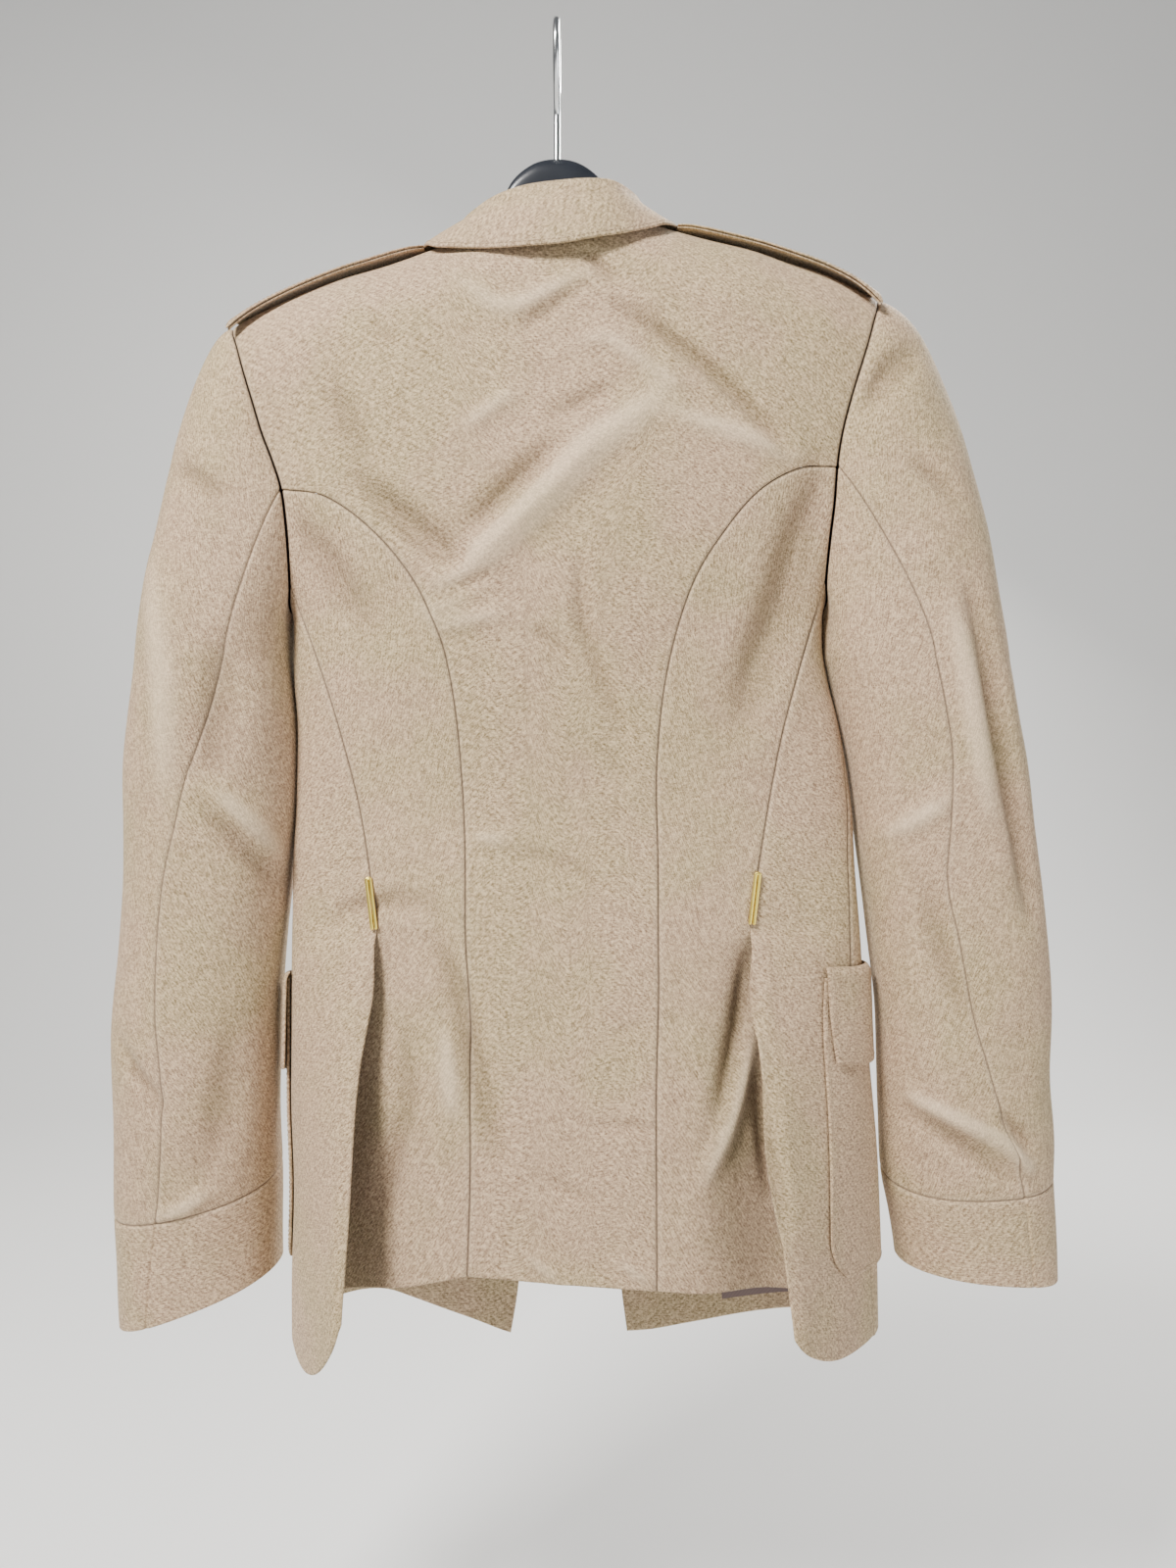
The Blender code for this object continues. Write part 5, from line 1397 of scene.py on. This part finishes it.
BRASS = metal("brass", (0.72, 0.52, 0.16, 1), (0.84, 0.67, 0.28, 1), 0.28, 220)
PALE_BRASS = metal("pale_brass", (0.86, 0.66, 0.13, 1), (0.92, 0.76, 0.22, 1), 0.34, 260)


def tube(name, points, material, solid):
    """Closed piece from a grid of rings, with a face over each of its two ends."""
    number, faces = grid_faces(*points.shape[:2], closed=True)
    ends = [number[0, :-1][::-1].tolist(), number[-1, :-1].tolist()]
    place(new_piece(name, points, faces.tolist() + ends, material), solid)


def button(name, seat, normal, size, solid):
    """Turned brass button: a profile of (radius share, height share), carried round the normal."""
    fine = along(np.array(BUTTON_PROFILE), np.linspace(0, len(BUTTON_PROFILE) - 1, 6 * len(BUTTON_PROFILE)))
    side = np.cross(normal, [0.0, 0.3, 1.0])
    side /= np.linalg.norm(side)
    turn = np.linspace(0, 2 * np.pi, 48, endpoint=False)[None, :, None]
    ring = np.cos(turn) * side + np.sin(turn) * np.cross(normal, side)
    out = size["diameter"] / 2 * fine[:, 0][:, None, None]
    up = size["height"] * fine[:, 1][:, None, None]
    tube(name, seat + out * ring + up * normal, BRASS, solid)


BUTTON_PROFILE = [
    (0.55, 0.0), (0.56, 0.2), (0.9, 0.22), (1.0, 0.32), (0.985, 0.46), (0.90, 0.52),
    (0.84, 0.50), (0.78, 0.62), (0.6, 0.84), (0.38, 0.95), (0.18, 0.99), (0.02, 1.0),
]
for side in ("left", "right"):
    near, far = STRAP_ENDS[side]
    share = share_rows([abs(far - near)], 2.4)[0]
    across = near + (far - near) * share
    # The blunt point at the neck end
    taper = np.interp(share, [0, 0.07, 0.16, 1], [0.55, 0.86, 1.0, 1.0])
    places = share_rows([STRAP_WIDTH], 2.2)[0] * 2 - 1
    depth = STRAP_WIDTH / 2 * taper[:, None] * places
    level = STRAP_LEVEL + 0 * across
    deep = np.abs(torso(back_angle(across, level), level)[:, 1])
    ratio = np.clip(np.abs(depth) / (deep[:, None] + 12), 0, 0.9)
    sag = SHOULDER_ROUND * (1 - np.sqrt(1 - ratio**2)) * 0.92
    rise = 0.6 * np.sin(np.pi * share) + GAP + 0.3
    level = shoulder_height(across)[:, None] + rise[:, None] - sag
    under = np.stack([across[:, None] + 0 * depth, depth, level], axis=-1)
    up_way = grid_normals(under)
    up_way *= np.sign(up_way[..., 2:3])
    round_edge = np.minimum(from_edge(under)[2], from_edge(under)[3])
    slim = STRAP_EDGE["dip"] * np.exp(-((round_edge / STRAP_EDGE["reach"]) ** 2))[..., None]
    for ply, (low_at, high_at) in STRAP_PLIES.items():
        name = "shoulder_strap_" + side + ply
        piece = shell(name, under + up_way * (high_at - slim), under + up_way * (low_at + slim))
        place(piece, "shoulder_strap_" + side)
    SURFACES["shoulder_strap_" + side] = under + up_way * STRAP_TOP, up_way
    sewn_round("strap_stitching_" + side, "shoulder_strap_" + side, (0, 2, 3), 3.0)
    k = int(np.argmin(np.abs(share - BUTTON_SHARE)))
    m = len(places) // 2
    seat = under[k, m] + up_way[k, m] * (BUTTON_SEAT + GAP)
    name = "strap_button_" + side
    button(name + "_brass", seat, up_way[k, m], STRAP_BUTTON, name)


# Front buttons. Four domed brass buttons with a plain rim, sewn down the left front, and four worked
# buttonholes in the right front, each of close stitches of thread round a slit.

HOLE_LENGTH = 25.0
HOLE_INSET = 13.0
HOLE_HALF_WIDTH = 1.3
HOLE_STITCH = {"pitch": 0.75, "length": 1.0, "radius": 0.5}


def surface_at(name, across, height):
    """Place and normal on a panel, weighed from its grid points nearest to (across, height)."""
    surface, normal = (grid.reshape(-1, 3) for grid in SURFACES[name])
    gap = (surface[:, 0] - across) ** 2 + (surface[:, 2] - height) ** 2
    near = np.argsort(gap)[:4]
    weight = 1 / (gap[near] + 1e-6)
    weight = (weight / weight.sum())[:, None]
    spot, way = (surface[near] * weight).sum(axis=0), (normal[near] * weight).sum(axis=0)
    return np.array([across, spot[1], height]), way / np.linalg.norm(way)


for k, height in enumerate(FRONT_BUTTON["heights"], 1):
    spot, normal = surface_at("front_left", FRONT_BUTTON["across"], height)
    name = "front_button_%d" % k
    button(name + "_brass", spot + normal * (GAP + 0.2), normal, FRONT_BUTTON, name)

for k, height in enumerate(FRONT_BUTTON["heights"], 1):
    # Outline of the slit: two long sides with rounded ends
    edge = smooth(-FRONT_EDGE["right"][:, 1], FRONT_EDGE["right"][:, 0], -height)
    turn = np.linspace(0, 2 * np.pi, 41)
    beside = np.clip(np.cos(turn) * 6, -1, 1) * (HOLE_LENGTH / 2 - 1.5) + 1.5 * np.cos(turn)
    above = HOLE_HALF_WIDTH * np.clip(np.sin(turn) * 3, -1, 1)
    middle = edge + HOLE_INSET + HOLE_LENGTH / 2
    found = [surface_at("front_right", middle + a, height + b) for a, b in zip(beside, above)]
    line, ways = (np.array(values) for values in zip(*found))
    stitches("buttonhole_%d_stitching" % k, "front_right", [(line, ways)], **HOLE_STITCH)


# Belt hooks. A hairpin of pale brass wire in each side-back seam at the waist, with its two lower ends
# sewn into the seam.

BELT_HOOK = {
    "left": {"top": (-108.7, -518.0), "bottom": (-104.9, -545.5)},
    "right": {"top": (117.6, -515.0), "bottom": (113.9, -542.5)},
}
BELT_WIRE = 2.0
BELT_PITCH = 2.3
BELT_RISE = 1.7


def wire(name, path, diameter, material, solid):
    """Round wire: a circle carried along a smooth path, with domed ends."""
    path = along(np.array(path, float), np.linspace(0, len(path) - 1, 8 * len(path)))
    run = np.gradient(path, axis=0)
    run /= np.linalg.norm(run, axis=1, keepdims=True)
    # The side is square to the wire, and it is taken from a way that the wire doesn't run in
    if abs(run[0, 2]) < 0.9:
        side = np.cross(run, [0.13, 0.21, 0.97])
    else:
        side = np.cross(run, [1.0, 0.0, 0.0])
        side = np.where(np.linalg.norm(side, axis=1, keepdims=True) < 0.2, [0.0, 0.0, 1.0], side)
    side /= np.linalg.norm(side, axis=1, keepdims=True)
    other = np.cross(run, side)
    # Each end is a dome of three more rings: how far out, and how wide
    dome = np.array([(-0.95, 0.3), (-0.8, 0.6), (-0.4, 0.92)])
    radius = diameter / 2
    head = [path[:1] + run[:1] * radius * out for out in dome[:, 0]]
    tail = [path[-1:] - run[-1:] * radius * out for out in dome[::-1, 0]]
    path = np.concatenate(head + [path] + tail)
    side = np.concatenate([side[:1]] * 3 + [side] + [side[-1:]] * 3)[:, None]
    other = np.concatenate([other[:1]] * 3 + [other] + [other[-1:]] * 3)[:, None]
    size = np.concatenate([dome[:, 1], np.ones(len(path) - 6), dome[::-1, 1]]) * radius
    turn = np.linspace(0, 2 * np.pi, 20, endpoint=False)[None, :, None]
    rings = size[:, None, None] * (np.cos(turn) * side + np.sin(turn) * other)
    tube(name, path[:, None] + rings, material, solid)


for side in ("left", "right"):
    spec = BELT_HOOK[side]
    ends = []
    for across, height in (spec["top"], spec["bottom"]):
        ends.append(torso(back_angle(across, height), height, "back") - [0.0, BELT_RISE, 0.0])
    top, bottom = ends
    run = (bottom - top) / np.linalg.norm(bottom - top)
    beside = np.cross(run, [0.0, 1.0, 0.0])
    beside /= np.linalg.norm(beside)
    arc = [
        top - run * math.sin(turn) * BELT_PITCH / 2 + beside * math.cos(turn) * BELT_PITCH / 2
        for turn in np.linspace(0, np.pi, 7)
    ]
    legs = [bottom + beside * BELT_PITCH / 2, (top + bottom) / 2 + beside * BELT_PITCH / 2]
    other = [(top + bottom) / 2 - beside * BELT_PITCH / 2, bottom - beside * BELT_PITCH / 2]
    wire("belt_hook_" + side + "_brass", legs + arc + other, BELT_WIRE, PALE_BRASS, "belt_hook_" + side)


# Hanger. One moulding of black plastic, with a dome over the neck and an arm in each shoulder. A steel wire
# hook is set in the dome.

# Sections of the moulding: across, top, bottom, half depth
HANGER = np.array(
    [
        (-188, -185.0, -192.0, 3.0),
        (-180, -179.0, -193.0, 4.0),
        (-160, -170.6, -189.0, 6.0),
        (-126, -158.0, -180.0, 6.5),
        (-87, -146.6, -171.0, 7.0),
        (-62, -140.5, -165.0, 7.0),
        (-45, -134.0, -162.0, 7.0),
        (-37, -124.0, -161.0, 7.0),
        (-34, -109.0, -160.5, 7.0),
        (-28, -94.5, -160.0, 7.0),
        (-18, -85.0, -159.0, 7.0),
        (-7, -80.6, -158.0, 7.0),
        (7, -80.6, -157.0, 7.0),
        (18, -85.0, -156.0, 7.0),
        (28, -94.0, -155.5, 7.0),
        (34, -106.0, -155.0, 7.0),
        (37, -118.0, -154.5, 7.0),
        (45, -125.0, -154.0, 7.0),
        (60, -128.6, -155.0, 7.0),
        (77, -132.9, -157.0, 7.0),
        (100, -137.4, -161.0, 6.5),
        (133, -146.0, -168.0, 6.5),
        (163, -155.6, -174.0, 6.0),
        (179, -163.0, -177.0, 4.0),
        (187, -168.0, -175.5, 3.0),
    ]
)
BAR_POWER = 0.75
RIM = {"hollow": 0.22, "inside": 0.8}
HOOK_WIRE = 4.0
HOOK_INNER = 18.0
SOCKET_DEPTH = 14.0


def moulded_plastic():
    """Black moulded plastic, glossy, with a faint waviness and a slight change of tone."""
    material, tree, shader = start_material("black_plastic")
    noise = noise_on(tree, node(tree, "ShaderNodeTexCoord").outputs["Object"], 60, 3)
    base = mix_colours(tree, noise, (0.008, 0.010, 0.014, 1), (0.020, 0.023, 0.030, 1))
    tree.links.new(base, shader.inputs["Base Color"])
    bump_on(tree, noise, shader, 0.08, 0.0006)
    shader.inputs["Roughness"].default_value = 0.24
    return material


BLACK_PLASTIC = moulded_plastic()
STEEL = metal("bright_steel", (0.56, 0.57, 0.58, 1), (0.78, 0.79, 0.80, 1), 0.2, 160)
sections = along(HANGER, np.linspace(0, len(HANGER) - 1, 8 * len(HANGER)))
turn = np.linspace(0, 2 * np.pi, 40, endpoint=False)
wide = np.sign(np.cos(turn)) * np.abs(np.cos(turn)) ** BAR_POWER
tall = np.sign(np.sin(turn)) * np.abs(np.sin(turn)) ** BAR_POWER
# A raised rim runs round the outline, so the sides are a little hollow
hollow = 1 - RIM["hollow"] * np.clip(1 - (tall / RIM["inside"]) ** 2, 0, 1) ** 0.5
across, high, low, half = np.moveaxis(sections[:, None, :], -1, 0)
level = (high + low) / 2 + (high - low) / 2 * tall
points = np.stack([across + 0 * turn, half * wide * hollow, level], axis=-1)
tube("hanger_body_plastic", points[:, ::-1], BLACK_PLASTIC, "hanger_body")

radius = HOOK_INNER + HOOK_WIRE / 2
path = []
for turn in np.linspace(-35, 180, 12):
    angle = math.radians(turn)
    path.append((0.0, radius * math.cos(angle), -HOOK_INNER + radius * math.sin(angle)))
path += [(0.0, -18.0, -28.0), (0.0, -12.0, -38.0), (0.0, -4.5, -46.0), (0.0, -0.8, -51.0), (0.0, 0.0, -56.0)]
path += [(0.0, 0.0, -75.0), (0.0, 0.0, -80.0 - SOCKET_DEPTH + GAP)]
wire("hanger_hook_steel", path, HOOK_WIRE, STEEL, "hanger_hook")


# Studio. A plain pale floor and backdrop, soft light from the front and above, and the camera at the
# photograph's place.

EYE = (0.019, -0.7212, -0.462)
LENS = 27.045
AIM = (0.0, 0.0, -0.45)


def backdrop():
    """Floor in metres that curves up to a wall: a straight run, a quarter circle and a straight rise."""
    floor_z, turn_y, wall_r = -1.12, 1.6, 0.8
    angle = np.linspace(0, np.pi / 2, 24)
    y = np.concatenate([[-5.0], turn_y + wall_r * np.sin(angle), [turn_y + wall_r]])
    z = np.concatenate([[floor_z], floor_z + wall_r * (1 - np.cos(angle)), [3.5]])
    x = np.array([-5.0, 5.0])
    points = [(a, b, c) for b, c in zip(y, z) for a in x]
    faces = [(2 * k, 2 * k + 1, 2 * k + 3, 2 * k + 2) for k in range(len(y) - 1)]
    mesh = bpy.data.meshes.new("floor")
    mesh.from_pydata(points, [], faces)
    mesh.polygons.foreach_set("use_smooth", [True] * len(faces))
    floor = bpy.data.objects.new("floor", mesh)
    bpy.context.scene.collection.objects.link(floor)
    material, _, shader = start_material("floor")
    shader.inputs["Base Color"].default_value = (0.74, 0.74, 0.73, 1)
    shader.inputs["Roughness"].default_value = 0.9
    mesh.materials.append(material)


backdrop()


def soft_light(name, spot, size, power, colour):
    """Square lamp that faces the middle of the jacket and doesn't show itself."""
    lamp = bpy.data.lights.new(name, "AREA")
    lamp.shape = "SQUARE"
    lamp.size = size
    lamp.energy = power
    lamp.color = colour
    thing = bpy.data.objects.new(name, lamp)
    way = np.array(AIM) - np.array(spot)
    flat = math.hypot(way[0], way[1])
    thing.location = spot
    thing.rotation_euler = (math.atan2(flat, -way[2]), 0, math.atan2(way[1], way[0]) - math.pi / 2)
    thing.visible_camera = False
    bpy.context.scene.collection.objects.link(thing)


soft_light("key", (-1.02, -1.40, 1.22), 0.65, 138, (1.0, 0.98, 0.95))
soft_light("fill", (1.6, -1.5, -0.6), 1.4, 24, (0.97, 0.98, 1.0))
soft_light("far_key", (1.0, 1.4, 1.1), 0.6, 90, (1.0, 0.98, 0.95))
world = bpy.data.worlds.new("studio")
world.use_nodes = True
world.node_tree.nodes["Background"].inputs["Color"].default_value = (0.80, 0.82, 0.85, 1)
world.node_tree.nodes["Background"].inputs["Strength"].default_value = 0.20
bpy.context.scene.world = world

camera_data = bpy.data.cameras.new("camera")
camera_data.lens = LENS
camera_data.sensor_width = 36.0
camera_data.clip_start = 0.02
camera = bpy.data.objects.new("camera", camera_data)
camera.location = EYE
camera.rotation_euler = (math.radians(90), 0, 0)
bpy.context.scene.collection.objects.link(camera)
bpy.context.scene.camera = camera
